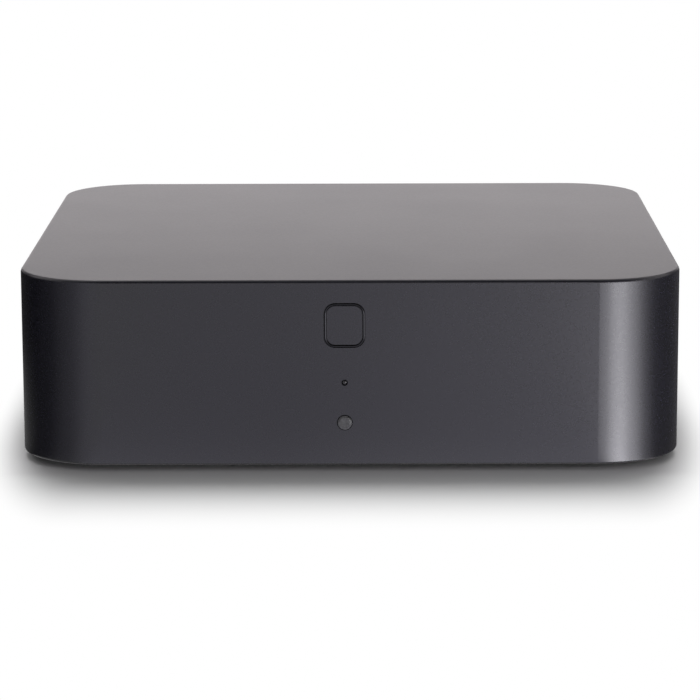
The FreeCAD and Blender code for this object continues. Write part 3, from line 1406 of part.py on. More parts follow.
def power_jack():
    """The barrel jack for the power supply, and the pin in the middle of its hole."""
    size = ("power_width", "power_depth", "power_height")
    whole = join(
        "PowerBlank",
        block("PowerBlock", "power_x", "panel_in - power_depth/2", "board_top", size),
        jack_lug("PowerLug", "power_x", "power_top"),
        rod("PowerNose", "power_x", "panel_in", "power_z", "power_nose", "jack_face - panel_in", "+y"),
    )
    end = ("power_x", "jack_face - power_hole_depth", "power_z")
    hole = rod("PowerHole", *end, "power_hole", "power_hole_depth", "+y")
    pilot = jack_pilot("PowerPilot", "power_x", "power_screw_z")
    sub_part(cut("PowerJackBody", whole, hole, pilot), "power_jack_body")
    pin = rod("PowerJackPin", *end, "power_pin", "power_hole_depth - power_pin_back", "+y")
    sub_part(pin, "power_jack_pin")


def network_jack():
    """The network jack: its shield, its insert with the port, and its springy contacts."""
    shell = hollow_shell(
        "NetworkShield", "network_x", "board_top", "network_width", "network_depth", "network_height"
    )
    sub_part(shell, "network_jack_shield")

    gap = "(sheet_thickness + jack_fit)"
    size = (f"network_width - 2*{gap}", f"network_depth - {gap} - jack_fit", f"network_height - 2*{gap}")
    insert = block(
        "NetworkBlock", "network_x", f"jack_face - jack_fit - ({size[1]})/2", f"board_top + {gap}", size
    )
    mouth = "jack_face - jack_fit - network_port_depth/2"
    cavities = (
        ("Port", "port_low", "network_port_width", "network_port_height"),
        ("Latch", "port_low - latch_height", "latch_width", "latch_height"),
        ("Step", "port_low - latch_step_height", "latch_step_width", "latch_step_height"),
    )
    tools = [
        block("Network" + name, "network_x", mouth, low, (width, "network_port_depth", height))
        for name, low, width, height in cavities
    ]
    sub_part(cut("NetworkInsert", insert, *tools), "network_jack_insert")

    front, back = "jack_face - wire_front", "jack_face - jack_fit - network_port_depth + wire_back"
    wires = []
    for k in range(int(number("wire_count"))):
        body = new_body(f"NetworkWire{k + 1}")
        section = Drawing(body, f"WireSection{k + 1}", "YZ_Plane")
        section.outline(
            (front, "port_high"),
            (back, "port_high - wire_drop"),
            (back, "port_high - wire_drop - wire_size"),
            (f"{front} + wire_size", "port_high - wire_size"),
            (f"{front} + wire_size", "port_high"),
        )
        pad(body, section, "wire_size", midplane=True)
        bind(body, "Placement.Base.x", f"network_x + ({k} - (wire_count - 1)/2)*wire_pitch")
        wires.append(body)
    sub_part(group("NetworkContacts", *wires), "network_jack_contacts")


def data_jack():
    """The flat data jack: a metal shell, and a plastic tongue that stands on a block at its back."""
    shell = hollow_shell("DataShell", "data_x", "data_z", "data_width", "data_depth", "data_height")
    sub_part(shell, "data_jack_shell")
    gap = "(sheet_thickness + jack_fit)"
    back = "data_back + sheet_thickness"
    size = (f"data_width - 2*{gap}", "data_block_depth", f"data_height - 2*{gap}")
    whole = block("DataBlock", "data_x", f"{back} + data_block_depth/2", f"data_z + {gap}", size)
    reach = "data_depth - sheet_thickness - data_block_depth - data_tongue_back"
    low = "data_z + data_height/2"
    size = ("data_tongue_width", reach, "data_tongue_height")
    blade = block("DataBlade", "data_x", f"{back} + data_block_depth + ({reach})/2", low, size)
    sub_part(join("DataTongue", whole, blade), "data_jack_tongue")


def video_outline(drawing, shrink):
    """The video jack's section: a flat top and slanted lower corners, smaller all round by a wall."""
    half, foot = f"(video_width/2 - {shrink})", f"(video_width/2 - video_slant - {shrink}/2)"
    low, high = f"video_z + {shrink}", f"video_z + video_height - {shrink}"
    shoulder = f"video_z + video_shoulder + {shrink}/2"
    return drawing.outline(
        (f"video_x - {foot}", low),
        (f"video_x + {foot}", low),
        (f"video_x + {half}", shoulder),
        (f"video_x + {half}", high),
        (f"video_x - {half}", high),
        (f"video_x - {half}", shoulder),
    )


def video_jack():
    """The video and sound jack: a metal shell, and a plastic tongue on a block at its back."""
    body = new_body("VideoShell")
    pad(body, video_outline(Drawing(body, "VideoOuter", "XZ_Plane", "-jack_face"), "0"), "video_depth")
    room = video_outline(Drawing(body, "VideoRoom", "XZ_Plane", "-jack_face"), "sheet_thickness")
    pocket(body, room, "video_depth - sheet_thickness", forward=True)
    sub_part(body, "video_jack_shell")

    body = new_body("VideoTongue")
    front = "-(video_back + sheet_thickness + video_block_depth)"
    whole = Drawing(body, "VideoBlock", "XZ_Plane", front)
    pad(body, video_outline(whole, "(sheet_thickness + jack_fit)"), "video_block_depth")
    blade = Drawing(body, "VideoBlade", "XZ_Plane", front)
    middle = "video_z + video_tongue_low + video_tongue_height/2"
    blade.rectangle("video_x", middle, "video_tongue_width", "video_tongue_height")
    reach = "video_depth - sheet_thickness - video_block_depth - video_tongue_back"
    pad(body, blade, reach, reverse=True)
    sub_part(body, "video_jack_tongue")


def optical_jack():
    """The optical jack: a block with a square port, and a room behind it that the shutter swings in."""
    depth = "(jack_face - optical_rear)"
    size = ("optical_width", depth, "optical_height")
    whole = join(
        "OpticalBlank",
        block("OpticalBlock", "optical_x", f"jack_face - {depth}/2", "board_top", size),
        jack_lug("OpticalLug", "optical_x", "optical_top"),
    )
    size = ("optical_port", "optical_lip", "optical_port")
    middle = "jack_face - optical_lip/2"
    port = block("OpticalPort", "optical_x", middle, "optical_z - optical_port/2", size)
    size = ("optical_room_width", "optical_room_depth", "optical_room_below + optical_room_above")
    room = block("OpticalRoom", "optical_x", "(room_y + lip_y)/2", "optical_z - optical_room_below", size)
    length = "shutter_width + 2*shutter_pin_reach + 2*shutter_pin_room"
    start = (f"optical_x - ({length})/2", "hinge_y", "hinge_z")
    hinge = rod("HingeHole", *start, "shutter_pin + shutter_pin_gap", length, "+x")
    start = ("optical_x", "optical_rear", "optical_z")
    lens = rod("LensHole", *start, "lens_radius + lens_gap", "optical_back", "+y")
    pilot = jack_pilot("OpticalPilot", "optical_x", "optical_screw_z")
    sub_part(cut("OpticalBody", whole, port, room, hinge, lens, pilot), "optical_jack_body")
    optical_shutter()

    size = ("receiver_width", "receiver_depth", "receiver_height")
    chip = block("ReceiverBlock", "optical_x", "optical_rear - receiver_depth/2", "board_top", size)
    lens = rod("ReceiverLens", *start, "lens_radius", "optical_back", "+y")
    sub_part(join("OpticalReceiver", chip, lens), "optical_receiver")


def optical_shutter():
    """The shutter that covers the optical port, with its hinge pin."""
    size = ("shutter_width", "shutter_thickness", "shutter_drop")
    leaf = block("ShutterLeaf", "optical_x", "hinge_y", "hinge_z - shutter_drop", size)
    length = "shutter_width + 2*shutter_pin_reach"
    start = (f"optical_x - ({length})/2", "hinge_y", "hinge_z")
    pin = rod("ShutterPin", *start, "shutter_pin", length, "+x")
    sub_part(join("OpticalShutter", leaf, pin), "optical_shutter")


def phono_block(name, x, axes, top):
    """The black block behind one or two phono jacks, with a round boss in the panel for each."""
    size = ("phono_width", "phono_depth", f"{top} - board_top")
    shapes = [block(name + "Block", x, "panel_in - phono_depth/2", "board_top", size)]
    for k, z in enumerate(axes, 1):
        shapes.append(rod(f"{name}Boss{k}", x, "panel_in", z, "phono_boss", "jack_face - panel_in", "+y"))
    return join(name + "Blank", *shapes)


def phono_tube(name, x, z, inner, outer, length):
    """A tube that stands on the face of a phono jack."""
    corners = ((inner, "0"), (outer, "0"), (outer, length), (inner, length))
    return turned(name, (x, "jack_face", z), "+y", *corners)


def phono_jacks():
    """Three phono jacks: a digital one, and a pair, one above the other, for the two channels."""
    coax = phono_block("CoaxJack", "coax_x", ["phono_z1"], "phono_z1 + phono_cover")
    sub_part(coax, "coax_jack_body")
    stereo = phono_block("StereoJack", "stereo_x", ["phono_z1", "phono_z2"], "phono_z2 + phono_cover")
    sub_part(stereo, "stereo_jack_body")

    barrels, contacts, rings = [], [], []
    for name, x, z in PHONO_JACKS:
        barrels.append(
            turned(
                name + "Barrel",
                (x, "jack_face", z),
                "+y",
                ("phono_inner", "0"),
                ("phono_radius", "0"),
                ("phono_radius", "phono_length - phono_bevel"),
                ("phono_radius - phono_bevel", "phono_length"),
                ("phono_inner", "phono_length"),
            )
        )
        length = "ring_end - phono_contact_back"
        contacts.append(phono_tube(name + "Contact", x, z, "phono_pin_hole", "contact_out", length))
        inner, outer = "contact_out + jack_fit", "phono_inner - jack_fit"
        rings.append(phono_tube(name + "Ring", x, z, inner, outer, "ring_end"))
    sub_part(group("PhonoBarrels", *barrels), "phono_barrels")
    sub_part(group("PhonoContacts", *contacts), "phono_contacts")
    for ring, node in zip(rings, ("coax_ring", "right_channel_ring", "left_channel_ring")):
        sub_part(ring, node)


def ground_terminal():
    """The ground terminal: a stud through the panel, a washer and a knurled thumb nut."""
    stud = turned(
        "GroundStud",
        ("coax_x", "inner_y", "phono_z2"),
        "+y",
        ("0", "-(panel_thickness + ground_head_depth)"),
        ("ground_head", "-(panel_thickness + ground_head_depth)"),
        ("ground_head", "-panel_thickness"),
        ("ground_radius", "-panel_thickness"),
        ("ground_radius", "ground_reach - ground_bevel"),
        ("ground_radius - ground_bevel", "ground_reach"),
        ("0", "ground_reach"),
    )
    sub_part(stud, "ground_stud")
    washer = turned(
        "GroundWasher",
        ("coax_x", "inner_y", "phono_z2"),
        "+y",
        ("ground_radius + washer_gap", "0"),
        ("washer_radius", "0"),
        ("washer_radius", "washer_thickness"),
        ("ground_radius + washer_gap", "washer_thickness"),
    )
    sub_part(washer, "ground_washer")
    nut = turned(
        "GroundNut",
        ("coax_x", "nut_y", "phono_z2"),
        "+y",
        ("nut_bore", "0"),
        ("nut_neck_radius", "0"),
        ("nut_neck_radius", "nut_neck_length"),
        ("nut_radius", "nut_neck_length + nut_slope"),
        ("nut_radius", "nut_length - ground_bevel"),
        ("nut_radius - ground_bevel", "nut_length"),
        ("nut_bore", "nut_length"),
    )
    groove = Drawing(nut, "Knurl", offset="nut_length").circle("nut_radius", "0", "knurl_radius")
    ring_of(nut, pocket(nut, groove, "nut_length"), "Z_Axis", "knurl_count")
    sub_part(nut, "ground_nut")


# Making everything, then looking it over and writing it out


def make_all():
    housing()
    base_plate()
    feet()
    base_screws()
    badge_ring()
    button_cap()
    light_pipe()
    status_led()
    front_switch()
    front_board()
    ribbon()
    main_board()
    processor()
    heat_sink()
    small_parts()
    capacitors()
    wireless()
    aerials()
    aerial_leads()
    rear_panel()
    power_jack()
    network_jack()
    data_jack()
    video_jack()
    optical_jack()
    phono_jacks()
    ground_terminal()
    doc.recompute()


def faults():
    """Each object that failed, each sub-part that is no sound solid, and each cut that cuts nothing."""
    found = []
    for thing in doc.Objects:
        if "Invalid" in thing.State or "Error" in thing.State:
            found.append(f"{thing.Name} is {thing.State}")
    for thing in SUB_PARTS:
        if thing.Shape.isNull() or not thing.Shape.isValid() or not thing.Shape.Solids:
            found.append(f"{thing.Label} is not a sound solid")
    for made, whole in CUTS:
        if made.Shape.Volume > whole.Shape.Volume - 1e-4:
            found.append(f"{made.Name} cuts nothing")
    return found


def write_out():
    os.makedirs("parts", exist_ok=True)
    for thing in SUB_PARTS:
        thing.Shape.exportStep(f"parts/{thing.Label}.step")
    print(f"{len(SUB_PARTS)} sub-parts written")


make_all()
problems = faults()
if problems:
    raise SystemExit("\n".join(problems))
write_out()
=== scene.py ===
# %% [markdown]
# # Dressing a small network audio adapter
#
# The object is a square black box, 143 mm wide and about 41 mm high, that sits beside a hi-fi. Its front holds
# only a badge, a light and a button. Its rear holds a row of jacks, and its underside four feet and a vent.
#
# The solids are already exact, so this lesson leaves their shapes alone and gives them what solids lack: the
# finish of each material, the small parts that are too fine for the solids, and a studio to see them in.

import json
import math
import random

import bmesh
import bpy
from mathutils import Matrix, Vector


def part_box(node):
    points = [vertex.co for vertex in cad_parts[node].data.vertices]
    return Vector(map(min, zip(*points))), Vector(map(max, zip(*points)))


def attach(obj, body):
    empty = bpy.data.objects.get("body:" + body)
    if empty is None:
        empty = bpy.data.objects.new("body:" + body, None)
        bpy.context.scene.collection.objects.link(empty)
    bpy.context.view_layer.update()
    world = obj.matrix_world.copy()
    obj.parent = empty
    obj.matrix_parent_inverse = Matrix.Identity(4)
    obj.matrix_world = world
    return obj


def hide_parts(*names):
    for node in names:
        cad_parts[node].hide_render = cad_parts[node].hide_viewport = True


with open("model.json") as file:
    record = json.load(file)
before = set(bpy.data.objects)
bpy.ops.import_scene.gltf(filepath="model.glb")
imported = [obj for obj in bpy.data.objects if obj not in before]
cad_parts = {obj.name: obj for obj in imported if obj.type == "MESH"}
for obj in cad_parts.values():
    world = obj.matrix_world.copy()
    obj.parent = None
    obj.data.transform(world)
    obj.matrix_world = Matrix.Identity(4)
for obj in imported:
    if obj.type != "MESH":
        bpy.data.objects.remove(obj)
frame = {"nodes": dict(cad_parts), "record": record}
bpy.context.scene.view_settings.view_transform = "Standard"
NODES = frame["nodes"]
MM = 0.001
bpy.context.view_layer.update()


def put(name, data):
    """Puts a new object in the scene."""
    made = bpy.data.objects.new(name, data)
    bpy.context.scene.collection.objects.link(made)
    return made


# %% [markdown]
# ## The camera
#
# The camera stands in front of the box and a little above it, where the top face shows as a thin band. It could
# be placed by eye. Instead its place and turns were worked out from where the box's edges lie in the picture,
# which takes a long lens some 0.7 m away. The three turns are built up from plain axes, so no sign is guessed.

# %% The camera
CAMERA_AT = Vector((4.029, -741.638, 159.688)) * MM
CAMERA_YAW, CAMERA_PITCH, CAMERA_ROLL = -0.00592, 0.19619, 0.00363
CAMERA_PIXELS, FRAME_PIXELS = 3214.65, 700  # focal length and frame width, both in pixels


def camera_axes(yaw, pitch, roll):
    """The camera's right, up and backward directions."""
    right = Vector((math.cos(yaw), -math.sin(yaw), 0))
    ahead = Vector((math.sin(yaw), math.cos(yaw), 0))
    up = Vector((0, 0, 1))
    ahead, up = ahead * math.cos(pitch) - up * math.sin(pitch), ahead * math.sin(pitch) + up * math.cos(pitch)
    right, up = right * math.cos(roll) - up * math.sin(roll), right * math.sin(roll) + up * math.cos(roll)
    return right, up, -ahead


def make_camera():
    data = bpy.data.cameras.new("camera")
    data.sensor_width = 36.0
    data.lens = CAMERA_PIXELS / FRAME_PIXELS * data.sensor_width
    data.clip_start, data.clip_end = 0.01, 20.0
    made = put("camera", data)
    axes = camera_axes(CAMERA_YAW, CAMERA_PITCH, CAMERA_ROLL)
    made.matrix_world = Matrix.Translation(CAMERA_AT) @ Matrix(axes).transposed().to_4x4()
    bpy.context.scene.camera = made
    print(f"camera: lens {data.lens:.1f} mm, {CAMERA_AT.length / MM:.0f} mm away")


make_camera()

# %% [markdown]
# ## Materials from nodes
#
# Every finish here starts as one Principled shader and grows a pattern: a grain, a brushing or a speckle. Image
# textures would be quicker, but they stretch on loose triangles and don't travel with the part. Patterns that
# read Object coordinates fit any shape, because every piece's place is in its mesh. The class below only
# shortens the typing: each method adds one node and joins it up.

# %% Adding a node


def add_node(tree, kind, inputs, settings):
    """Adds a node to a tree. An input is a number, a vector, or another node's output socket."""
    made = tree.nodes.new(kind)
    for name, value in settings.items():
        setattr(made, name, value)
    for name, value in (inputs or {}).items():
        if isinstance(value, bpy.types.NodeSocket):
            tree.links.new(value, made.inputs[name])
        else:
            made.inputs[name].default_value = value
    return made


# %% A material with short ways to add nodes


class Finish:
    """One material, its Principled shader, and short ways to add pattern nodes to it."""

    def __init__(self, name, colour, rough, metal=0.0, **sockets):
        self.material = bpy.data.materials.new(name)
        self.material.use_nodes = True
        self.tree = self.material.node_tree
        self.shader = self.tree.nodes["Principled BSDF"]
        self.colour, self.rough = colour, rough
        self.shader.inputs["Base Color"].default_value = (*colour, 1)
        self.shader.inputs["Roughness"].default_value = rough
        self.shader.inputs["Metallic"].default_value = metal
        for socket, value in sockets.items():
            self.shader.inputs[socket.replace("_", " ")].default_value = value
        self.material.diffuse_color = (*colour, 1)

    def node(self, kind, inputs=None, **settings):
        return add_node(self.tree, "ShaderNode" + kind, inputs, settings)

    def place(self, centre=(0, 0, 0), turn=(0, 0, 0), stretch=(1, 1, 1)):
        """Object coordinates in millimetres, centred, turned and stretched by a Mapping node."""
        start = self.node("TexCoord").outputs["Object"]
        shift = [-s * c for s, c in zip(stretch, centre)]
        scale = [s / MM for s in stretch]
        inputs = {"Vector": start, "Location": shift, "Rotation": turn, "Scale": scale}
        return self.node("Mapping", inputs).outputs["Vector"]

    def noise(self, where, size, detail=2.0, rough=0.5):
        """A cloudy pattern whose lumps are about size millimetres across."""
        inputs = {"Vector": where, "Scale": 1 / size, "Detail": detail, "Roughness": rough}
        return self.node("TexNoise", inputs).outputs["Fac"]

    def cells(self, where, size, output="Distance", feature="F1"):
        """Random cells about size millimetres across."""
        inputs = {"Vector": where, "Scale": 1 / size}
        return self.node("TexVoronoi", inputs, feature=feature).outputs[output]

    def math(self, operation, a, b=0.0):
        return self.node("Math", {0: a, 1: b}, operation=operation).outputs["Value"]

    def plus(self, a, b):
        return self.math("ADD", a, b)

    def times(self, a, b):
        return self.math("MULTIPLY", a, b)

    def length(self, x, y):
        """The distance from the middle, out of the distances along two axes."""
        return self.math("SQRT", self.plus(self.times(x, x), self.times(y, y)))

    def levels(self, factor, low, high, to_low, to_high, smooth=False):
        """Maps the range low..high of a pattern onto to_low..to_high."""
        inputs = {"Value": factor, "From Min": low, "From Max": high, "To Min": to_low, "To Max": to_high}
        kind = "SMOOTHSTEP" if smooth else "LINEAR"
        return self.node("MapRange", inputs, interpolation_type=kind).outputs["Result"]

    def blend(self, factor, low, high):
        """A colour between two, by a pattern from 0 to 1. The Mix node keeps its colours in sockets 6 and 7."""
        low, high = (c if isinstance(c, bpy.types.NodeSocket) else (*c, 1) for c in (low, high))
        return self.node("Mix", {0: factor, 6: low, 7: high}, data_type="RGBA").outputs[2]

    def axis(self, where, letter):
        """One coordinate, in millimetres."""
        return self.node("SeparateXYZ", {"Vector": where}).outputs[letter]

    def drive(self, socket, source):
        """Lets a pattern feed one of the shader's sockets."""
        self.tree.links.new(source, self.shader.inputs[socket])
        return self

    def tint(self, factor, low, high):
        """Varies the colour between two, by a pattern from 0 to 1."""
        return self.drive("Base Color", self.blend(factor, low, high))

    def shade(self, factor, spread):
        """Varies the colour's brightness by plus or minus a share of it."""
        dark = tuple(c * (1 - spread) for c in self.colour)
        light = tuple(min(1, c * (1 + spread)) for c in self.colour)
        return self.tint(factor, dark, light)

    def polish(self, factor, spread):
        """Varies the roughness by plus or minus some."""
        low, high = max(0.02, self.rough - spread), min(1, self.rough + spread)
        return self.drive("Roughness", self.levels(factor, 0.25, 0.75, low, high))

    def relief(self, height, depth):
        """Raises the surface by a pattern from 0 to 1, depth in millimetres."""
        inputs = {"Height": height, "Distance": depth * MM, "Strength": 1.0}
        return self.drive("Normal", self.node("Bump", inputs).outputs["Normal"])


FINISHES = {}


def finish_for(slot, made):
    """Gives a finish to every solid in that material slot."""
    FINISHES[slot] = made.material
    dressed = 0
    for node in NODES.values():
        for holder in node.material_slots:
            if holder.material and holder.material.name.split(".")[0] == slot:
                holder.material = made.material
                dressed += 1
    print(f"{made.material.name}: on {dressed} solids")
    return made


# %% [markdown]
# ## Moulded plastics
#
# A moulded part copies the skin of its steel mould: a fine eroded grain that breaks up each reflection, and
# faint clouds where the plastic cooled unevenly. One bump at one size looks like sandpaper, so the grain is a
# noise with some finer noise in it, and the clouds change only the gloss. The sizes are in millimetres.

# %% A moulded plastic


def moulded(slot, name, colour, rough, grain=0.3, depth=0.006, cloud=12.0, spread=0.05, **sockets):
    made = Finish(name, colour, rough, **sockets)
    where = made.place()
    fine = made.noise(where, grain, 3.0, 0.6)
    clouds = made.noise(where, cloud, 2.0)
    made.shade(made.times(made.plus(fine, clouds), 0.5), 0.12)
    made.polish(clouds, spread)
    made.relief(fine, depth)
    return finish_for(slot, made)


moulded("base_plastic", "matt_black_base", (0.018, 0.018, 0.019), 0.62, 0.45, 0.012, 18)
button = moulded("button_plastic", "satin_grey_button", (0.084, 0.084, 0.087), 0.42, 0.3, 0.02, 3)
button.shade(button.levels(button.noise(button.place(), 0.45, 2.0), 0.35, 0.65, 0, 1), 0.4)
moulded("switch_plastic", "black_switch", (0.03, 0.03, 0.03), 0.45, 0.2, 0.004)
moulded("plunger_plastic", "ivory_plunger", (0.66, 0.62, 0.53), 0.4, 0.2, 0.003)
moulded("socket_plastic", "ivory_socket", (0.72, 0.68, 0.58), 0.45, 0.2, 0.004)
moulded("jack_plastic", "black_jack_plastic", (0.022, 0.022, 0.023), 0.4, 0.22, 0.004, 7)
moulded("tongue_plastic", "white_tongue", (0.7, 0.7, 0.68), 0.42, 0.2, 0.003)
moulded("shutter_plastic", "dark_grey_shutter", (0.06, 0.06, 0.063), 0.38, 0.18, 0.003, 4)
moulded("pin_nylon", "white_nylon", (0.75, 0.75, 0.72), 0.5, 0.3, 0.005, Subsurface_Weight=0.1)
moulded("thermal_silicone", "soft_blue_silicone", (0.30, 0.42, 0.50), 0.7, 0.6, 0.02)
moulded("lead_plastic", "black_lead", (0.03, 0.03, 0.032), 0.35, 0.25, 0.003)
moulded("orange_plastic", "orange_ring", (0.80, 0.22, 0.02), 0.3, 0.2, 0.002, 4)
moulded("red_plastic", "red_ring", (0.60, 0.02, 0.02), 0.3, 0.2, 0.002, 4)
moulded("white_plastic", "white_ring", (0.80, 0.80, 0.78), 0.3, 0.2, 0.002, 4)
print("moulded plastics:", len(FINISHES))

# %% [markdown]
# ## The housing
#
# The housing is moulded in black and has a satin coat with a very fine sparkle. Seen straight on it looks nearly
# black. Seen at a low angle, as its top is here, it turns grey, because every gloss mirrors more at a low angle.
# So the colour stays almost black and all the grey comes from the shader's own reflection. A fine grain and a
# scatter of tiny flecks with another gloss give the rounded corners their glitter. The mould's flat top is polished
# finer than its sides, so the flecks are fainter there.

# %% The housing's finish


def satin_housing():
    made = Finish("satin_black_housing", (0.0064, 0.006, 0.0120), 0.29)
    where = made.place()
    grain = made.noise(where, 0.24, 3.0, 0.65)
    flecks = made.cells(where, 0.36, "Color")
    fleck = made.node("SeparateColor", {"Color": flecks}).outputs["Red"]
    clouds = made.noise(where, 26.0, 2.0)
    made.shade(clouds, 0.12)
    below_edge, at_edge, share_on_top = 40.8, 41.4, 0.4
    fainter = made.levels(made.axis(where, "Z"), below_edge, at_edge, 1, share_on_top)
    glitter = made.times(made.levels(fleck, 0, 1, -0.025, 0.025), fainter)
    made.drive("Roughness", made.plus(made.levels(clouds, 0.3, 0.7, 0.285, 0.297), glitter))
    made.relief(made.plus(made.times(grain, 0.7), made.times(fleck, 0.3)), 0.0022)
    return finish_for("housing_plastic", made)


satin_housing()

# %% [markdown]
# ## Rubber feet
#
# The feet are dull rubber with a moulded ring near the edge of each sole, so that they grip like suction cups.
# The ring could be cut into four meshes. As a bump it needs no geometry: folding the coordinates with an
# absolute value lays all four feet on one, and the distance from that foot's middle draws the rings.

# %% The feet's finish


def ringed_rubber():
    low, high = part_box("foot_rear_right")
    middle = [(a + b) / 2 / MM for a, b in zip(low, high)]
    ring_spacing = 1.5
    made = Finish("dull_foot_rubber", (0.022, 0.022, 0.022), 0.82, Specular_IOR_Level=0.35)
    where = made.place()
    x = made.math("SUBTRACT", made.math("ABSOLUTE", made.axis(where, "X")), middle[0])
    y = made.math("SUBTRACT", made.math("ABSOLUTE", made.axis(where, "Y")), middle[1])
    ring = made.math("SINE", made.times(made.length(x, y), 2 * math.pi / ring_spacing))
    speckle = made.noise(where, 0.35, 3.0)
    made.shade(speckle, 0.25)
    made.relief(made.plus(made.levels(ring, -1, 1, 0, 0.8, True), made.times(speckle, 0.2)), 0.08)
    return finish_for("foot_rubber", made)


ringed_rubber()

# %% [markdown]
# ## Metals
#
# What tells metals apart, once the colour is right, is the way they were worked. Sheet is brushed one way,
# turned parts carry fine circles round their axis, and plated or tinned parts are smooth with faint stains.
# All three are one noise, stretched: long lumps along the brushing, or thin slices across a turning axis.

# %% A worked metal


def worked_metal(slot, name, colour, rough, stretch=(1, 1, 1), depth=0.002, stain=0.1):
    """A metal whose pattern is squeezed by stretch, so a large number gives lines across that axis."""
    made = Finish(name, colour, rough, 1.0)
    lines = made.noise(made.place(stretch=stretch), 1.0, 4.0, 0.6)
    stains = made.noise(made.place(), 3.0, 3.0)
    made.shade(stains, stain)
    made.polish(made.plus(made.times(lines, 0.6), made.times(stains, 0.4)), 0.09)
    made.relief(lines, depth)
    return finish_for(slot, made)


worked_metal("black_screw", "black_zinc", (0.11, 0.11, 0.115), 0.34, (4, 4, 4), 0.003)
worked_metal("steel_screw", "bright_zinc", (0.58, 0.59, 0.60), 0.3, (3, 3, 3), 0.002)
worked_metal("sink_aluminium", "extruded_aluminium", (0.62, 0.63, 0.65), 0.34, (9, 0.12, 9), 0.006)
worked_metal("can_aluminium", "drawn_aluminium", (0.66, 0.67, 0.69), 0.28, (0.4, 0.4, 7), 0.002)
worked_metal("tin", "tinned_sheet", (0.60, 0.60, 0.59), 0.26, (0.5, 8, 6), 0.002, 0.14)
worked_metal("gold", "gold_plating", (0.86, 0.60, 0.22), 0.2, (0.3, 9, 0.3), 0.0015, 0.06)
worked_metal("nickel", "nickel_plating", (0.64, 0.62, 0.58), 0.2, (0.3, 9, 0.3), 0.0015, 0.05)
worked_metal("badge_gloss", "black_polished_badge", (0.024, 0.024, 0.026), 0.09, (2, 1, 2), 0.001, 0.1)
print("finishes so far:", len(FINISHES))

# %% [markdown]
# ## The rear panel's powder coat
#
# Powder coat melts into a skin with the dimples of an orange. Two sizes of soft bumps do that: rounded cells for
# the dimples, and a slow wave under them. The coat is glossier than the housing, so the jacks stand out on it.

# %% The powder coat


def powder_coat():
    made = Finish("black_powder_coat", (0.02, 0.02, 0.0205), 0.42)
    where = made.place()
    peel = made.cells(where, 0.7, feature="SMOOTH_F1")
    waves = made.noise(where, 4.0, 2.0)
    made.shade(waves, 0.1)
    made.polish(waves, 0.05)
    made.relief(made.plus(peel, made.times(waves, 0.6)), 0.03)
    return finish_for("panel_metal", made)


powder_coat()

# %% [markdown]
# ## Circuit boards
#
# A circuit board is glass cloth under green lacquer. Copper tracks show through as a lighter green, and the small
# plated holes as gold dots. Two brick patterns, one turned a quarter, draw tracks that change lanes; their mortar
# is the track. A board runs its tracks one way in each patch, so slow clouds choose the way and leave some patches
# bare. Small cells that are cut off near their centres make the holes.

# %% The lacquered board


def lacquered_board():
    green, track_green, hole_gold = (0.008, 0.07, 0.028), (0.016, 0.125, 0.05), (0.62, 0.45, 0.16)
    made = Finish("green_board_lacquer", green, 0.3, Coat_Weight=0.3, Coat_Roughness=0.12)
    where = made.place()
    tracks = []
    for size, turn, shift in ((7.0, 0.0, 0.37), (6.0, math.pi / 2, 0.61)):
        inputs = {"Vector": made.place(turn=(0, 0, turn)), "Scale": 1 / size, "Mortar Size": 0.03}
        inputs.update({"Mortar Smooth": 0.1, "Brick Width": 1.7, "Row Height": 0.15})
        tracks.append(made.node("TexBrick", inputs, offset=shift, squash=0.7).outputs["Fac"])
    along = made.levels(made.noise(where, 13.0, 0.0), 0.49, 0.51, 0, 1)
    routed = made.levels(made.noise(made.place(centre=(40, 7, 0)), 7.0, 1.0), 0.43, 0.45, 0, 1)
    across = made.math("SUBTRACT", 1.0, along)
    track = made.plus(made.times(tracks[0], along), made.times(tracks[1], across))
    track = made.times(track, routed)
    dots = made.levels(made.cells(where, 4.2), 0.07, 0.09, 1, 0)
    weave = made.noise(made.place(stretch=(1, 1, 0.2)), 0.6, 2.0)
    made.tint(dots, made.blend(track, green, track_green), hole_gold)
    made.relief(made.plus(made.times(track, 0.8), made.times(weave, 0.2)), 0.02)
    return finish_for("board_green", made)


lacquered_board()

# %% [markdown]
# ## The small special finishes
#
# The rest are one of a kind. The status light's window is smoked plastic: it looks black until the emitter behind
# it is lit. The ribbon is white film with a conductor every millimetre. The aerials are copper strips under
# amber film. Chips are dull epoxy full of fine silica, and ferrite is a dark, slightly glittering ceramic.

# %% Window, emitter, ribbon, aerials, chips and ferrite


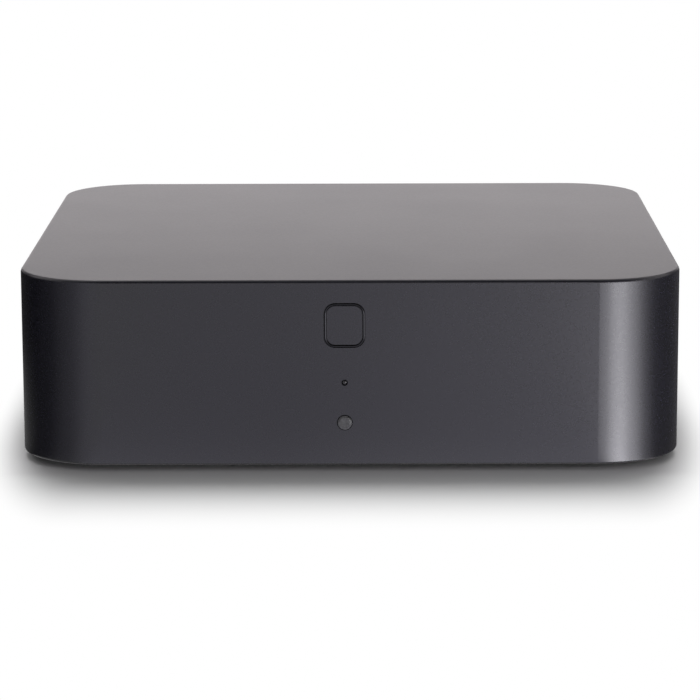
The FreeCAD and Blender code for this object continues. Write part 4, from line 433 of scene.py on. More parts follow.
def special_finishes():
    window = Finish("smoked_window", (0.012, 0.012, 0.014), 0.08, Transmission_Weight=0.3, IOR=1.49)
    window.relief(window.noise(window.place(), 0.6, 2.0), 0.004)
    finish_for("clear_plastic", window)

    emitter = Finish("milky_emitter", (0.72, 0.70, 0.52), 0.35, Subsurface_Weight=0.2)
    emitter.shade(emitter.noise(emitter.place(), 0.5, 2.0), 0.15)
    finish_for("led_resin", emitter)

    white_film = (0.74, 0.75, 0.77)
    film = Finish("white_ribbon_film", white_film, 0.35)
    stripe = film.math("SINE", film.times(film.axis(film.place(), "X"), 2 * math.pi))
    wire = film.levels(stripe, -0.1, 0.3, 0, 1, True)
    film.tint(wire, white_film, (0.42, 0.42, 0.44))
    film.relief(wire, 0.04)
    finish_for("ribbon_film", film)

    aerial = Finish("copper_under_film", (0.72, 0.34, 0.16), 0.3, 0.75, Coat_Weight=0.5)
    where = aerial.place()
    along = aerial.math("PINGPONG", aerial.axis(where, "Y"), 2.5)
    up = aerial.math("PINGPONG", aerial.axis(where, "Z"), 3.0)
    gap = aerial.math("LESS_THAN", aerial.math("MINIMUM", along, up), 0.35)
    aerial.tint(gap, (0.74, 0.36, 0.17), (0.30, 0.16, 0.04))
    aerial.relief(gap, -0.03)
    finish_for("aerial_film", aerial)

    epoxy = Finish("black_chip_epoxy", (0.02, 0.02, 0.021), 0.6)
    silica = epoxy.noise(epoxy.place(), 0.12, 4.0, 0.7)
    epoxy.shade(silica, 0.4)
    epoxy.relief(silica, 0.006)
    finish_for("chip_epoxy", epoxy)

    ferrite = Finish("dark_ferrite", (0.045, 0.045, 0.05), 0.5)
    crumbs = ferrite.cells(ferrite.place(), 0.3)
    ferrite.shade(crumbs, 0.5)
    ferrite.polish(crumbs, 0.15)
    ferrite.relief(crumbs, 0.02)
    finish_for("ferrite", ferrite)


special_finishes()
missing = {m["slot"] for m in frame["record"]["materials"]} - set(FINISHES)
print("finishes:", len(FINISHES), "slots without one:", sorted(missing))

# %% [markdown]
# ## The ground terminal's thread
#
# The stud of the ground terminal carries a thread, 0.7 mm from crest to crest, that the solid leaves smooth. Real
# ridges would be finer than the mesh. A bump that repeats along the stud's axis reads as a thread, and adding the
# angle round the axis makes it climb like one. The stud gets its own material for this.

# %% The threaded stud


def threaded_stud():
    low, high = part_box("ground_stud")
    x, z = (low.x + high.x) / 2 / MM, (low.z + high.z) / 2 / MM
    pitch = 0.7
    made = Finish("threaded_nickel", (0.62, 0.60, 0.56), 0.26, 1.0)
    where = made.place(centre=(x, 0, z))
    turn = made.math("ARCTAN2", made.axis(where, "Z"), made.axis(where, "X"))
    climb = made.times(made.axis(where, "Y"), 2 * math.pi / pitch)
    crest = made.levels(made.math("SINE", made.plus(climb, turn)), -1, 1, 0, 1)
    flat = made.node("VectorMath", {0: where, 1: (1, 0, 1)}, operation="MULTIPLY").outputs["Vector"]
    away = made.node("VectorMath", {0: flat}, operation="LENGTH").outputs["Value"]
    thread = made.times(crest, made.levels(away, 1.0, 1.3, 0, 1))
    # The colour follows the thread: painted shade in its roots and a painted highlight on its crests.
    made.shade(thread, 0.25)
    made.relief(thread, 0.25)
    NODES["ground_stud"].material_slots[0].material = made.material
    print(f"thread: {(high.y - low.y) / MM / pitch:.0f} turns along the stud")


threaded_stud()

# %% [markdown]
# ## Pieces made in mesh code
#
# The small pieces that follow are built from a few helpers. A rounded block is a box whose edges are bevelled in
# the mesh itself, so it catches a thin line of light along each edge as a moulded or pressed part does. Every
# piece keeps its place in its mesh and its object at the origin, as the solids do.

# %% A finished piece


def add_piece(name, mesh, finish, body="case"):
    """Puts a mesh and its finish in the scene and lets it ride on a body of the part."""
    mesh.materials.clear()
    mesh.materials.append(finish)
    made = put(name, mesh)
    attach(made, body)
    print(f"{name}: {len(mesh.polygons)} faces")
    return made


def as_mesh(name, shape):
    """Closes a bmesh into a mesh whose faces point outwards."""
    bmesh.ops.recalc_face_normals(shape, faces=shape.faces)
    mesh = bpy.data.meshes.new(name)
    shape.to_mesh(mesh)
    shape.free()
    return mesh


# %% Skins, blocks and strips


def skin(shape, rings):
    """Joins each ring of vertices to the next by faces. At a ring that is one point they are triangles."""
    count = len(rings[0])
    for a, b in zip(rings, rings[1:]):
        for k in range(count):
            j = (k + 1) % count
            shape.faces.new(list(dict.fromkeys((a[k], a[j], b[j], b[k]))))


def capped_skin(shape, rings):
    """Joins rings of points in mm, and closes the first and the last."""
    rings = [[shape.verts.new(Vector(point) * MM) for point in ring] for ring in rings]
    shape.faces.new(rings[0])
    shape.faces.new(list(reversed(rings[-1])))
    skin(shape, rings)


def rounded_block(shape, low, high, bevel, segments=2):
    """Adds a box between two corners in mm to a bmesh, with every edge rounded."""
    size = [b - a for a, b in zip(low, high)]
    middle = [(a + b) / 2 for a, b in zip(low, high)]
    matrix = Matrix.Translation(Vector(middle) * MM) @ Matrix.Diagonal((*(s * MM for s in size), 1))
    corners = bmesh.ops.create_cube(shape, size=1.0, matrix=matrix)["verts"]
    edges = list({e for v in corners for e in v.link_edges})
    bmesh.ops.bevel(shape, geom=edges, offset=bevel * MM, segments=segments, affect="EDGES", profile=0.5)


def profile_strip(shape, points, thickness, x0, x1):
    """Adds a bent strip of sheet to a bmesh: points (y, z) in mm along its middle, from x0 to x1."""
    normals = []
    for k, (y, z) in enumerate(points):
        a, b = points[max(k - 1, 0)], points[min(k + 1, len(points) - 1)]
        dy, dz = b[0] - a[0], b[1] - a[1]
        size = math.hypot(dy, dz)
        normals.append((-dz / size * thickness / 2, dy / size * thickness / 2))
    loop = [(y + n, z + m) for (y, z), (n, m) in zip(points, normals)]
    loop += [(y - n, z - m) for (y, z), (n, m) in reversed(list(zip(points, normals)))]
    capped_skin(shape, [[(x, y, z) for y, z in loop] for x in (x0, x1)])


# %% [markdown]
# ## Repeats in Geometry Nodes
#
# Contacts and legs are one small shape many times over. Copying meshes in a loop would work, but a Geometry Nodes
# tree keeps the rule in view: how many, how far apart, and what. The first tree below repeats its own mesh along a
# straight line. It ends by making the copies real and giving them their material, because copies that stay
# instances get lost on export.

# %% A tree


class Growth:
    """A Geometry Nodes tree. Each input is named and given its kind and its usual value."""

    def __init__(self, name, **inputs):
        self.group = bpy.data.node_groups.new(name, "GeometryNodeTree")
        face = self.group.interface
        face.new_socket("Geometry", in_out="OUTPUT", socket_type="NodeSocketGeometry")
        face.new_socket("Geometry", in_out="INPUT", socket_type="NodeSocketGeometry")
        for title, (kind, value) in inputs.items():
            socket = face.new_socket(title.replace("_", " "), in_out="INPUT", socket_type="NodeSocket" + kind)
            socket.default_value = value
        self.start = self.group.nodes.new("NodeGroupInput").outputs

    def node(self, kind, inputs=None, **settings):
        return add_node(self.group, kind, inputs, settings)

    def end(self, geometry, finish):
        """Makes the copies real, gives them their material and closes the tree."""
        real = self.node("GeometryNodeRealizeInstances", {"Geometry": geometry}).outputs["Geometry"]
        inputs = {"Geometry": real, "Material": finish}
        painted = self.node("GeometryNodeSetMaterial", inputs).outputs["Geometry"]
        self.group.links.new(painted, self.group.nodes.new("NodeGroupOutput").inputs["Geometry"])
        return self


# %% Growing a piece and a row


def grow(name, tree, mesh, values, slot, finish=None):
    """Runs a tree on a mesh with some input values, and keeps the result as a plain piece."""
    seed = put(name + "_seed", mesh)
    modifier = seed.modifiers.new("grow", "NODES")
    modifier.node_group = tree.group
    for socket in tree.group.interface.items_tree:
        if socket.in_out == "INPUT" and socket.name in values:
            modifier[socket.identifier] = values[socket.name]
    seen = seed.evaluated_get(bpy.context.evaluated_depsgraph_get())
    result = bpy.data.meshes.new_from_object(seen)
    result.name = name
    bpy.data.objects.remove(seed)
    return add_piece(name, result, finish or FINISHES[slot])


def line_tree(finish):
    """Repeats its own mesh Count times, Step metres apart."""
    tree = Growth("along_a_line", Count=("Int", 4), Step=("Vector", (0.001, 0, 0)))
    inputs = {"Count": tree.start["Count"], "Offset": tree.start["Step"]}
    line = tree.node("GeometryNodeMeshLine", inputs, mode="OFFSET", count_mode="TOTAL")
    inputs = {"Points": line.outputs["Mesh"], "Instance": tree.start["Geometry"]}
    copies = tree.node("GeometryNodeInstanceOnPoints", inputs)
    return tree.end(copies.outputs["Instances"], finish)


ROW_TREES = {slot: line_tree(FINISHES[slot]) for slot in ("gold", "tin")}


def row(name, shape, count, step, slot):
    """Makes a row of copies of one shape. step is the way from one to the next in mm, as (x, y)."""
    values = {"Count": count, "Step": (step[0] * MM, step[1] * MM, 0)}
    return grow(name, ROW_TREES[slot], as_mesh(name + "_one", shape), values, slot)

# %% [markdown]
# ## The badge ring
#
# The badge is a thin polished ring round bare housing. Its solid has flat faces with small bevels. A pressed and
# polished ring has a rounded brow instead, and that is what catches the small glints at its corners. The ring is
# a profile that follows a path, so a tree draws both: a rounded rectangle to follow and a smaller one to carry.

# %% The tree that sweeps a ring


def ring_tree(finish):
    """Sweeps a rounded band round a rounded rectangle that stands upright and faces the front."""
    sizes = {"Width": 0.0082, "Height": 0.009, "Round": 0.0021, "Band": 0.00044, "Depth": 0.00082}
    brow, half_depth = 0.00021, 0.00041
    tree = Growth("badge_sweep", **{name: ("Float", size) for name, size in sizes.items()})
    curves = []
    for wide, high, rounding, steps in (("Width", "Height", "Round", 10), ("Band", "Depth", None, 4)):
        inputs = {"Width": tree.start[wide], "Height": tree.start[high]}
        outline = tree.node("GeometryNodeCurvePrimitiveQuadrilateral", inputs).outputs["Curve"]
        inputs = {"Curve": outline, "Count": steps}
        inputs["Radius"] = tree.start[rounding] if rounding else brow
        curves.append(tree.node("GeometryNodeFilletCurve", inputs, mode="POLY").outputs["Curve"])
    path = tree.node("GeometryNodeSetCurveNormal", {"Curve": curves[0]}, mode="Z_UP").outputs["Curve"]
    band = tree.node("GeometryNodeCurveToMesh", {"Curve": path, "Profile Curve": curves[1]}).outputs["Mesh"]
    smooth = tree.node("GeometryNodeSetShadeSmooth", {"Geometry": band}).outputs["Geometry"]
    low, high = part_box("badge_ring")
    middle = Vector(((low.x + high.x) / 2, high.y - half_depth, (low.z + high.z) / 2))
    inputs = {"Geometry": smooth, "Rotation": (math.pi / 2, 0, 0), "Translation": middle}
    return tree.end(tree.node("GeometryNodeTransform", inputs).outputs["Geometry"], finish)


ring = grow("badge_band", ring_tree(FINISHES["badge_gloss"]), bpy.data.meshes.new("path"), {}, "badge_gloss")
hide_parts("badge_ring")
print("badge band:", [[round(v / MM, 2) for v in ring.bound_box[k]] for k in (0, 6)])

# %% [markdown]
# ## The status light's window
#
# The window is the front end of a clear rod. In the housing it shows as a tiny black dot with one glint, because
# its end is a dome and sits slightly back in the hole. The solid's end is flat, so the rod is turned again here:
# a profile is spun round the rod's axis, with the dome in it.

# %% A turned piece


def turned_mesh(name, at, profile, count=32):
    """Spins (distance back, radius) steps in mm round the line through at = (x, z) that runs from the front."""
    shape = bmesh.new()
    rings = []
    for back, radius in profile:
        if radius == 0:
            rings.append([shape.verts.new(Vector((at[0], back, at[1])) * MM)] * count)
            continue
        turns = [2 * math.pi * k / count for k in range(count)]
        points = [(at[0] + radius * math.cos(t), back, at[1] + radius * math.sin(t)) for t in turns]
        rings.append([shape.verts.new(Vector(p) * MM) for p in points])
    skin(shape, rings)
    mesh = as_mesh(name, shape)
    for face in mesh.polygons:
        face.use_smooth = True
    return mesh


def light_window():
    low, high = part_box("light_pipe")
    x, z = (low.x + high.x) / 2 / MM, (low.z + high.z) / 2 / MM
    front, rear = low.y / MM, high.y / MM
    dome = [(front + 0.16 + 0.22 * (r / 0.6) ** 2, r) for r in (0, 0.12, 0.24, 0.36, 0.48, 0.58)]
    neck = [(0.42, 0.62), (2.53, 0.62), (2.56, 0.66)]
    collar = [(2.57, 1.55), (2.62, 1.6), (3.5, 1.6), (3.55, 1.55), (3.56, 1.02), (3.6, 1.0)]
    rod = [(front + back, radius) for back, radius in neck + collar]
    rod += [(rear - 0.05, 1.0), (rear, 0.95), (rear, 0)]
    mesh = turned_mesh("light_window", (x, z), dome + rod)
    made = add_piece("light_window", mesh, FINISHES["clear_plastic"])
    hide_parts("light_pipe")


light_window()

# %% [markdown]
# ## The power jack's pin
#
# The pin stands in the middle of the power jack. Its solid ends square, and a square end mirrors the white room
# like a lit lamp. A real pin has a rounded nose, with a small hole in it where it was held for plating, so it is
# turned again from the same length and radius.

# %% The power jack's pin


def power_pin():
    low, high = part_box("power_jack_pin")
    x, z = (low.x + high.x) / 2 / MM, (low.z + high.z) / 2 / MM
    radius, rear, tip = (high.z - low.z) / 2 / MM, low.y / MM, high.y / MM
    nose_length = 0.9 * radius
    nose = [(rear, 0), (rear, radius), (tip - nose_length, radius)]
    for k in range(1, 7):
        angle = math.radians(12 * k)
        nose.append((tip - nose_length * (1 - math.sin(angle)), radius * math.cos(angle)))
    nose += [(tip - 0.06, 0.26 * radius), (tip - 0.5, 0.22 * radius), (tip - 0.55, 0)]
    made = add_piece("power_pin", turned_mesh("power_pin", (x, z), nose, 40), FINISHES["nickel"])
    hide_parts("power_jack_pin")


power_pin()

# %% [markdown]
# ## Contacts and springs in the flat jacks
#
# The data jack's tongue carries four springy contacts on its underside, and its shell has pressed springs that
# grip the plug. The video jack's tongue has ten contacts below and nine above, a millimetre apart. The data jack's
# are bent strips and the video jack's are straight bars. One of each is drawn, and the line tree lays out the row.

# %% The data jack's contacts and springs


def middle_of(node):
    """A node's middle, its lowest and its highest corner, in mm."""
    low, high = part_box(node)
    return (low + high) / 2 / MM, low / MM, high / MM


def data_details():
    (x, _, _), _, high = middle_of("data_jack_tongue")
    front, under = high.y, 14.1
    first, spacing, half = x - 3.5, 7.0 / 3, 0.5
    shape = bmesh.new()
    points = [(front - 8.4, under - 0.06), (front - 3.2, under - 0.08), (front - 2.2, under - 0.34)]
    points += [(front - 1.5, under - 0.36), (front - 0.7, under - 0.05)]
    profile_strip(shape, points, 0.14, first - half, first + half)
    row("data_contacts", shape, 4, (spacing, 0), "gold")

    _, low, high = middle_of("data_jack_shell")
    shape = bmesh.new()
    for z, way in ((low.z + 0.3, 1), (high.z - 0.3, -1)):
        points = [(front - 7.0, z - 0.08 * way), (front - 5.5, z + 0.1 * way), (front - 3.4, z + 0.42 * way)]
        points += [(front - 2.4, z + 0.42 * way), (front - 1.2, z + 0.08 * way), (front - 0.6, z - 0.08 * way)]
        profile_strip(shape, points, 0.18, x - 3.4, x - 1.6)
    row("data_springs", shape, 2, (5.0, 0), "tin")


data_details()

# %% The video jack's contacts


def video_details():
    (x, _, _), _, high = middle_of("video_jack_tongue")
    front, spacing = high.y, 1.0
    under = middle_of("video_jack_shell")[1].z + 2.6
    for name, z, count in (("video_contacts_low", under - 0.03, 10), ("video_contacts_high", under + 1.33, 9)):
        shape = bmesh.new()
        start = x - (count - 1) * spacing / 2
        rounded_block(shape, (start - 0.15, front - 7.2, z - 0.06), (start + 0.15, front - 0.35, z + 0.06), 0.04, 1)
        row(name, shape, count, (spacing, 0), "gold")


video_details()

# %% [markdown]
# ## The network jack's lights
#
# Two small lenses sit in the upper corners of the network jack, one green and one amber. Unlit, they look like
# boiled sweets: strongly coloured, clear and glossy. They are rounded blocks set into the black insert.

# %% The network jack's lights


def network_lights():
    (x, _, _), _, high = middle_of("network_jack_insert")
    face, aside = high.y, 5.3
    for name, side, colour in (("green", -1, (0.05, 0.42, 0.07)), ("amber", 1, (0.75, 0.36, 0.02))):
        made = Finish(f"{name}_lens", colour, 0.12, Transmission_Weight=0.35, IOR=1.5)
        made.shade(made.noise(made.place(), 0.8, 2.0), 0.15)
        made.relief(made.noise(made.place(), 0.35, 2.0), 0.006)
        shape = bmesh.new()
        at = x + side * aside
        rounded_block(shape, (at - 1.5, face - 0.6, high.z - 2.3), (at + 1.5, face + 0.045, high.z - 0.7), 0.12, 3)
        add_piece(f"{name}_light", as_mesh(name, shape), made.material)


network_lights()

# %% [markdown]
# ## The blank label
#
# The sunk field under the box takes a rating label. Here it stays blank: a satin silver foil with rounded corners,
# a hair thinner than the field is deep. Its outline is four arcs, extruded by the foil's thickness, and its skin
# is brushed along its length.

# %% The blank label


def blank_label():
    _, base_low, _ = middle_of("base_plate")
    half_x, half_y, radius, y_middle, steps = 22.7, 10.7, 1.8, -28.0, 8
    low, high = base_low.z + 0.1, base_low.z + 0.245
    outline = []
    for cx, cy, start in ((1, 1, 0), (-1, 1, 90), (-1, -1, 180), (1, -1, 270)):
        for k in range(steps + 1):
            angle = math.radians(start + 90 * k / steps)
            x = cx * (half_x - radius) + radius * math.cos(angle)
            y = y_middle + cy * (half_y - radius) + radius * math.sin(angle)
            outline.append((x, y))
    shape = bmesh.new()
    capped_skin(shape, [[(x, y, z) for x, y in outline] for z in (low, high)])
    made = Finish("satin_silver_foil", (0.42, 0.43, 0.44), 0.38, 0.8)
    lines = made.noise(made.place(stretch=(0.15, 8, 1)), 1.0, 3.0)
    made.shade(lines, 0.08)
    made.polish(lines, 0.08)
    made.relief(lines, 0.002)
    add_piece("blank_label", as_mesh("label", shape), made.material)


blank_label()

# %% [markdown]
# ## Legs of the chips and of the transformer
#
# The three audio chips and the network transformer stand on rows of tinned legs: flat strips that leave the body,
# bend down and end flat on the board. One leg for each row's start is drawn, and the line tree adds the rest.

# %% The chips' legs


def leg(shape, x, y, z, reach, rise, width, along):
    """Adds one bent leg that starts at a chip's side. along is the direction it points in, as (x, y)."""
    side = Vector((-along[1], along[0], 0)) * width / 2
    out = Vector((*along, 0))
    path = [(-0.3, rise), (reach * 0.3, rise), (reach * 0.5, 0.12), (reach, 0.06)]
    rings = []
    for distance, height in path:
        middle = Vector((x, y, z)) + out * distance + Vector((0, 0, height))
        corners = ((-1, -0.06), (1, -0.06), (1, 0.06), (-1, 0.06))
        rings.append([middle + s * side + Vector((0, 0, t)) for s, t in corners])
    capped_skin(shape, rings)


def chip_legs():
    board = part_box("main_board")[1].z / MM
    _, low, high = middle_of("audio_chips")
    shape = bmesh.new()
    half, pitch, count = 3.5, 0.8, 8
    chips = [(high.x - half, high.y - half), (low.x + half, high.y - half), (high.x - half, low.y + half)]
    for x, y in chips:
        for way in (-1, 1):
            leg(shape, x + way * half, y - (count - 1) / 2 * pitch, board, 1.1, 0.5, 0.34, (way, 0))
    row("audio_chip_legs", shape, count, (0, pitch), "tin")

    _, low, high = middle_of("network_transformer")
    shape = bmesh.new()
    inset, count = 1.0, 12
    for y, way in ((low.y, -1), (high.y, 1)):
        leg(shape, low.x + inset, y, board, 1.2, 1.0, 0.5, (0, way))
    row("transformer_legs", shape, count, ((high.x - low.x - 2 * inset) / (count - 1), 0), "tin")


chip_legs()

# %% [markdown]
# ## Small parts on the main board
#
# Round the chips stand hundreds of tiny resistors and capacitors. They follow a rule: they sit on a grid, square
# to the board, wherever nothing larger stands. Python marks the free grid points. A second tree then keeps a
# random share of them, puts one part on each, and turns some a quarter, with a fixed seed so that the board comes
# out the same each time.

# %% Free places on the board
# The nodes that stand on the main board or reach over it.
BOARD_CROWD = [
    "processor", "heat_sink", "memory_chips", "audio_chips", "crystals", "power_inductors",
    "network_transformer", "electrolytic_capacitors", "wireless_board", "ribbon_sockets",
    "power_jack_body", "network_jack_shield", "data_jack_shell", "video_jack_shell",
    "optical_jack_body", "optical_receiver", "coax_jack_body", "stereo_jack_body",
    "aerial_lead_right", "main_board_screws",
]


def islands(node):
    """The flat boxes round each loose shell of a node, in mm."""
    shape = bmesh.new()
    shape.from_mesh(NODES[node].data)
    bmesh.ops.remove_doubles(shape, verts=shape.verts, dist=1e-6)
    left, boxes = set(shape.verts), []
    while left:
        stack, seen = [left.pop()], []
        while stack:
            vertex = stack.pop()
            seen.append(vertex.co / MM)
            for edge in vertex.link_edges:
                other = edge.other_vert(vertex)
                if other in left:
                    left.remove(other)
                    stack.append(other)
        xs, ys, zs = zip(*seen)
        boxes.append((min(xs), max(xs), min(ys), max(ys), min(zs), max(zs)))
    shape.free()
    return boxes


def is_clear(x, y, boxes, margin):
    """Whether a point stays a margin away from every box, seen from above."""
    return all(x < a - margin or x > b + margin or y < c - margin or y > d + margin for a, b, c, d, _, _ in boxes)


def free_points(low_z, high_z, step, margin, region):
    """Grid points of a region where no large part reaches into the space between two heights."""
    taken = []
    for node in BOARD_CROWD:
        taken += [b for b in islands(node) if b[4] < high_z and b[5] > low_z]
    x0, x1, y0, y1 = region
    points = []
    for i in range(int((x1 - x0) / step) + 1):
        for j in range(int((y1 - y0) / step) + 1):
            x, y = x0 + i * step, y0 + j * step
            if is_clear(x, y, taken, margin):
                points.append((x, y))
    print("free places:", len(points))
    return points


# %% The tree that scatters parts


def scatter_tree(name, finish):
    """Puts Part on a random Share of the mesh's points, some of them turned a quarter."""
    tree = Growth(name, Share=("Float", 0.3), Seed=("Int", 1), Part=("Object", None))
    inputs = {"Probability": tree.start["Share"], "Seed": tree.start["Seed"]}
    keep = tree.node("FunctionNodeRandomValue", inputs, data_type="BOOLEAN")
    quarter = tree.node("FunctionNodeRandomValue", data_type="INT")
    for socket in quarter.inputs:
        if socket.enabled and socket.name in ("Min", "Max"):
            socket.default_value = 0 if socket.name == "Min" else 1
    angle = tree.node("ShaderNodeMath", {1: math.pi / 2}, operation="MULTIPLY")
    tree.group.links.new(next(s for s in quarter.outputs if s.enabled), angle.inputs[0])
    turn = tree.node("ShaderNodeCombineXYZ", {"Z": angle.outputs["Value"]})
    points = tree.node("GeometryNodeMeshToPoints", {"Mesh": tree.start["Geometry"]})
    part = tree.node("GeometryNodeObjectInfo", {"Object": tree.start["Part"]}).outputs["Geometry"]
    inputs = {"Points": points.outputs["Points"], "Instance": part, "Rotation": turn.outputs["Vector"]}
    inputs["Selection"] = next(s for s in keep.outputs if s.enabled)
    return tree.end(tree.node("GeometryNodeInstanceOnPoints", inputs).outputs["Instances"], finish)


def scatter(name, places, height, part_mesh, seed, finish, slot, share=0.55):
    """Scatters copies of a small mesh over a share of some places on the board."""
    mesh = bpy.data.meshes.new(name + "_places")
    mesh.from_pydata([Vector((x, y, height)) * MM for x, y in places], [], [])
    part = put(name + "_part", part_mesh)
    tree = scatter_tree(name + "_tree", finish)
    grow(name, tree, mesh, {"Share": share, "Seed": seed, "Part": part}, slot, finish)
    bpy.data.objects.remove(part)


# %% Resistors, capacitors and their ends


def small_parts():
    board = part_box("main_board")
    top = board[1].z / MM
    grid, margin, region = 2.6, 1.5, (-47.0, 47.0, -43.5, 62.0)
    places = free_points(top + 0.05, top + 1.0, grid, margin, region)
    random.Random(7).shuffle(places)
    third = len(places) // 3
    ceramic = moulded("small_ceramic", "tan_ceramic", (0.36, 0.25, 0.15), 0.45, 0.3, 0.004)
    kinds = (
        ("chip_resistors", places[:third], 0.45, FINISHES["chip_epoxy"], "chip_epoxy"),
        ("chip_capacitors", places[third:], 0.8, ceramic.material, "ferrite"),
    )
    for seed, (name, where, height, finish, slot) in enumerate(kinds, 3):
        body = bmesh.new()
        rounded_block(body, (-0.55, -0.4, 0.02), (0.55, 0.4, height), 0.05, 1)
        scatter(name, where, top, as_mesh(name + "_body", body), seed, finish, slot)
        ends = bmesh.new()
        for way in (-1, 1):
            x0, x1 = sorted((way * 0.5, way * 0.85))
            rounded_block(ends, (x0, -0.42, 0.0), (x1, 0.42, height + 0.02), 0.05, 1)
        scatter(name + "_ends", where, top, as_mesh(name + "_ends", ends), seed, FINISHES["tin"], "tin")


small_parts()

# %% [markdown]
# ## The studio
#
# The picture has a white background, a soft grey shadow and one bright band down the right front corner, while the
# left corner falls almost to black. Lights alone could draw the shadow, but a gloss shows what stands round it.
# So the shadow and the reflections are made apart. Two soft lights, hidden from reflections, and a grey sky give
# the light and the shadow. Everything that the gloss mirrors is a glowing card, which the next steps set up.
#
# The floor keeps the shadow near the box and turns plain white further off, as a cut-out picture does. Seen from
# below it is clear, so that the underside can be looked at through it, and under the box it is clear both ways.

# %% The floor


def floor_finish():
    """A pale floor that keeps the shadow near the object, is plain white further off and clear from below."""
    pale, painted_shadow_grey = (0.93, 0.93, 0.93), (0.75, 0.74, 0.75)
    made = Finish("pale_floor", pale, 0.9, Specular_IOR_Level=0.0)
    where = made.place()
    x = made.math("ABSOLUTE", made.axis(where, "X"))
    y = made.math("ABSOLUTE", made.axis(where, "Y"))
    square = made.math("MAXIMUM", x, y)  # mm from the middle, 71.5 at the box's sides
    beside, ahead = made.levels(x, 58, 82, 0, 1), made.levels(y, 14, 122, 0, 1)
    keeps = made.levels(made.length(beside, ahead), 0.58, 1.0, 1, 0, True)
    # Close to the box's sides the floor's colour turns a darker grey: a painted shadow, added to the shadow the
    # lights cast.
    made.tint(made.levels(square, 71, 80, 0, 1, True), painted_shadow_grey, pale)
    path = made.node("LightPath").outputs
    plain = made.math("MAXIMUM", path["Is Camera Ray"], path["Is Transmission Ray"])
    plain = made.times(plain, made.math("SUBTRACT", 1.0, keeps))
    # Reflections see the floor glow plain white, and close to the box half that glow over the lit floor: a painted
    # reflection that hides the shadow from them.
    mirrored = made.times(path["Is Glossy Ray"], made.levels(square, 71, 78, 0.5, 1, True))
    white = made.node("Emission", {"Color": (1, 1, 1, 1), "Strength": 1.0}).outputs["Emission"]
    inputs = {0: made.math("MAXIMUM", plain, mirrored), 1: made.shader.outputs["BSDF"], 2: white}
    seen = made.node("MixShader", inputs).outputs["Shader"]
    hole = made.math("LESS_THAN", square, 56)  # lets light in from below
    below = made.node("NewGeometry").outputs["Backfacing"]
    clear = made.node("BsdfTransparent").outputs["BSDF"]
    inputs = {0: made.math("MAXIMUM", hole, below), 1: seen, 2: clear}
    mixed = made.node("MixShader", inputs).outputs["Shader"]
    made.tree.links.new(mixed, made.tree.nodes["Material Output"].inputs["Surface"])
    return made.material


def make_floor():
    shape = bmesh.new()
    bmesh.ops.create_grid(shape, x_segments=1, y_segments=1, size=4.0)
    mesh = as_mesh("floor", shape)
    mesh.materials.append(floor_finish())
    made = put("floor", mesh)
    print("floor:", [round(side, 1) for side in made.dimensions], "m")


make_floor()

# %% The background


def make_background(above, below):
    """White for the camera and through glass, a warm white in reflections, and two greys for the light itself."""
    world = bpy.data.worlds.new("studio")
    bpy.context.scene.world = world
    world.use_nodes = True
    tree = world.node_tree

    def node(kind, *inputs, **settings):
        return add_node(tree, "ShaderNode" + kind, dict(enumerate(inputs)), settings).outputs

    path = node("LightPath")
    seen = node("Math", path["Is Camera Ray"], path["Is Glossy Ray"], operation="MAXIMUM")["Value"]
    seen = node("Math", seen, path["Is Transmission Ray"], operation="MAXIMUM")["Value"]
    height = node("SeparateXYZ", node("TexCoord")["Generated"])["Z"]
    light = node("MapRange", height, -0.02, 0.02, below, above)["Result"]
    background = tree.nodes["Background"]
    warm = [node("MapRange", path["Is Glossy Ray"], 0, 1, 1.0, part)["Result"] for part in (0.95, 0.962)]
    tree.links.new(node("CombineXYZ", 1.0, *warm)["Vector"], background.inputs["Color"])
    strength = node("MapRange", seen, 0, 1, light, 1.0)["Result"]
    tree.links.new(strength, background.inputs["Strength"])
    print(f"background: light {above} from above and {below} from below")


make_background(0.2, 0.8)

# %% [markdown]
# ## Lights and cards
#
# A photographer bends white and black card round a glossy product until its reflections draw the shape. The cards
# here do the same, and only reflections see them: they cast no shadow, take no light and stay out of the picture.
# Sheets lie on the floor and low curtains stand round the two front corners, because a round corner mirrors the
# whole sweep from the front to the rear. Their glow follows the angle round the corner, which puts one bright band
# on the right corner and lets the left one fall to black.

# %% A soft light and a card


def soft_light(name, at, aim, size, strength):
    """A rectangular soft light that reflections don't see. strength is its brightness, where 1 is white."""
    data = bpy.data.lights.new(name, "AREA")
    data.shape = "RECTANGLE"
    data.size, data.size_y = size
    data.energy = strength * math.pi * size[0] * size[1]
    made = put(name, data)
    made.location = at
    made.rotation_euler = (Vector(aim) - Vector(at)).to_track_quat("-Z", "Z").to_euler()
    made.visible_glossy = False
    print(f"{name}: {data.energy:.2f} W")


def card(name, corners, finish):
    """A card that only reflections see."""
    mesh = bpy.data.meshes.new(name)
    faces = [tuple(range(k, k + 4)) for k in range(0, len(corners), 4)]
    mesh.from_pydata([Vector(c) for c in corners], [], faces)
    mesh.materials.append(finish)
    made = put(name, mesh)
    made.visible_camera = False
    made.visible_diffuse = False
    made.visible_transmission = False
    made.visible_shadow = False
    print(f"{name}: {len(faces)} quads")


def card_finish(name, pattern=None, low=0.0, high=0.0, colour=(1, 1, 1)):
    """A glow between two strengths, where 0 is black and 1 is white. Pattern makes a factor from the finish."""
    made = Finish(name, (0, 0, 0), 1)
    glow = made.node("Emission", {"Color": (*colour, 1), "Strength": low})
    if pattern:
        made.tree.links.new(made.levels(pattern(made), 0, 1, low, high), glow.inputs["Strength"])
    made.tree.links.new(glow.outputs["Emission"], made.tree.nodes["Material Output"].inputs["Surface"])
    return made.material


# %% A glow that follows an angle


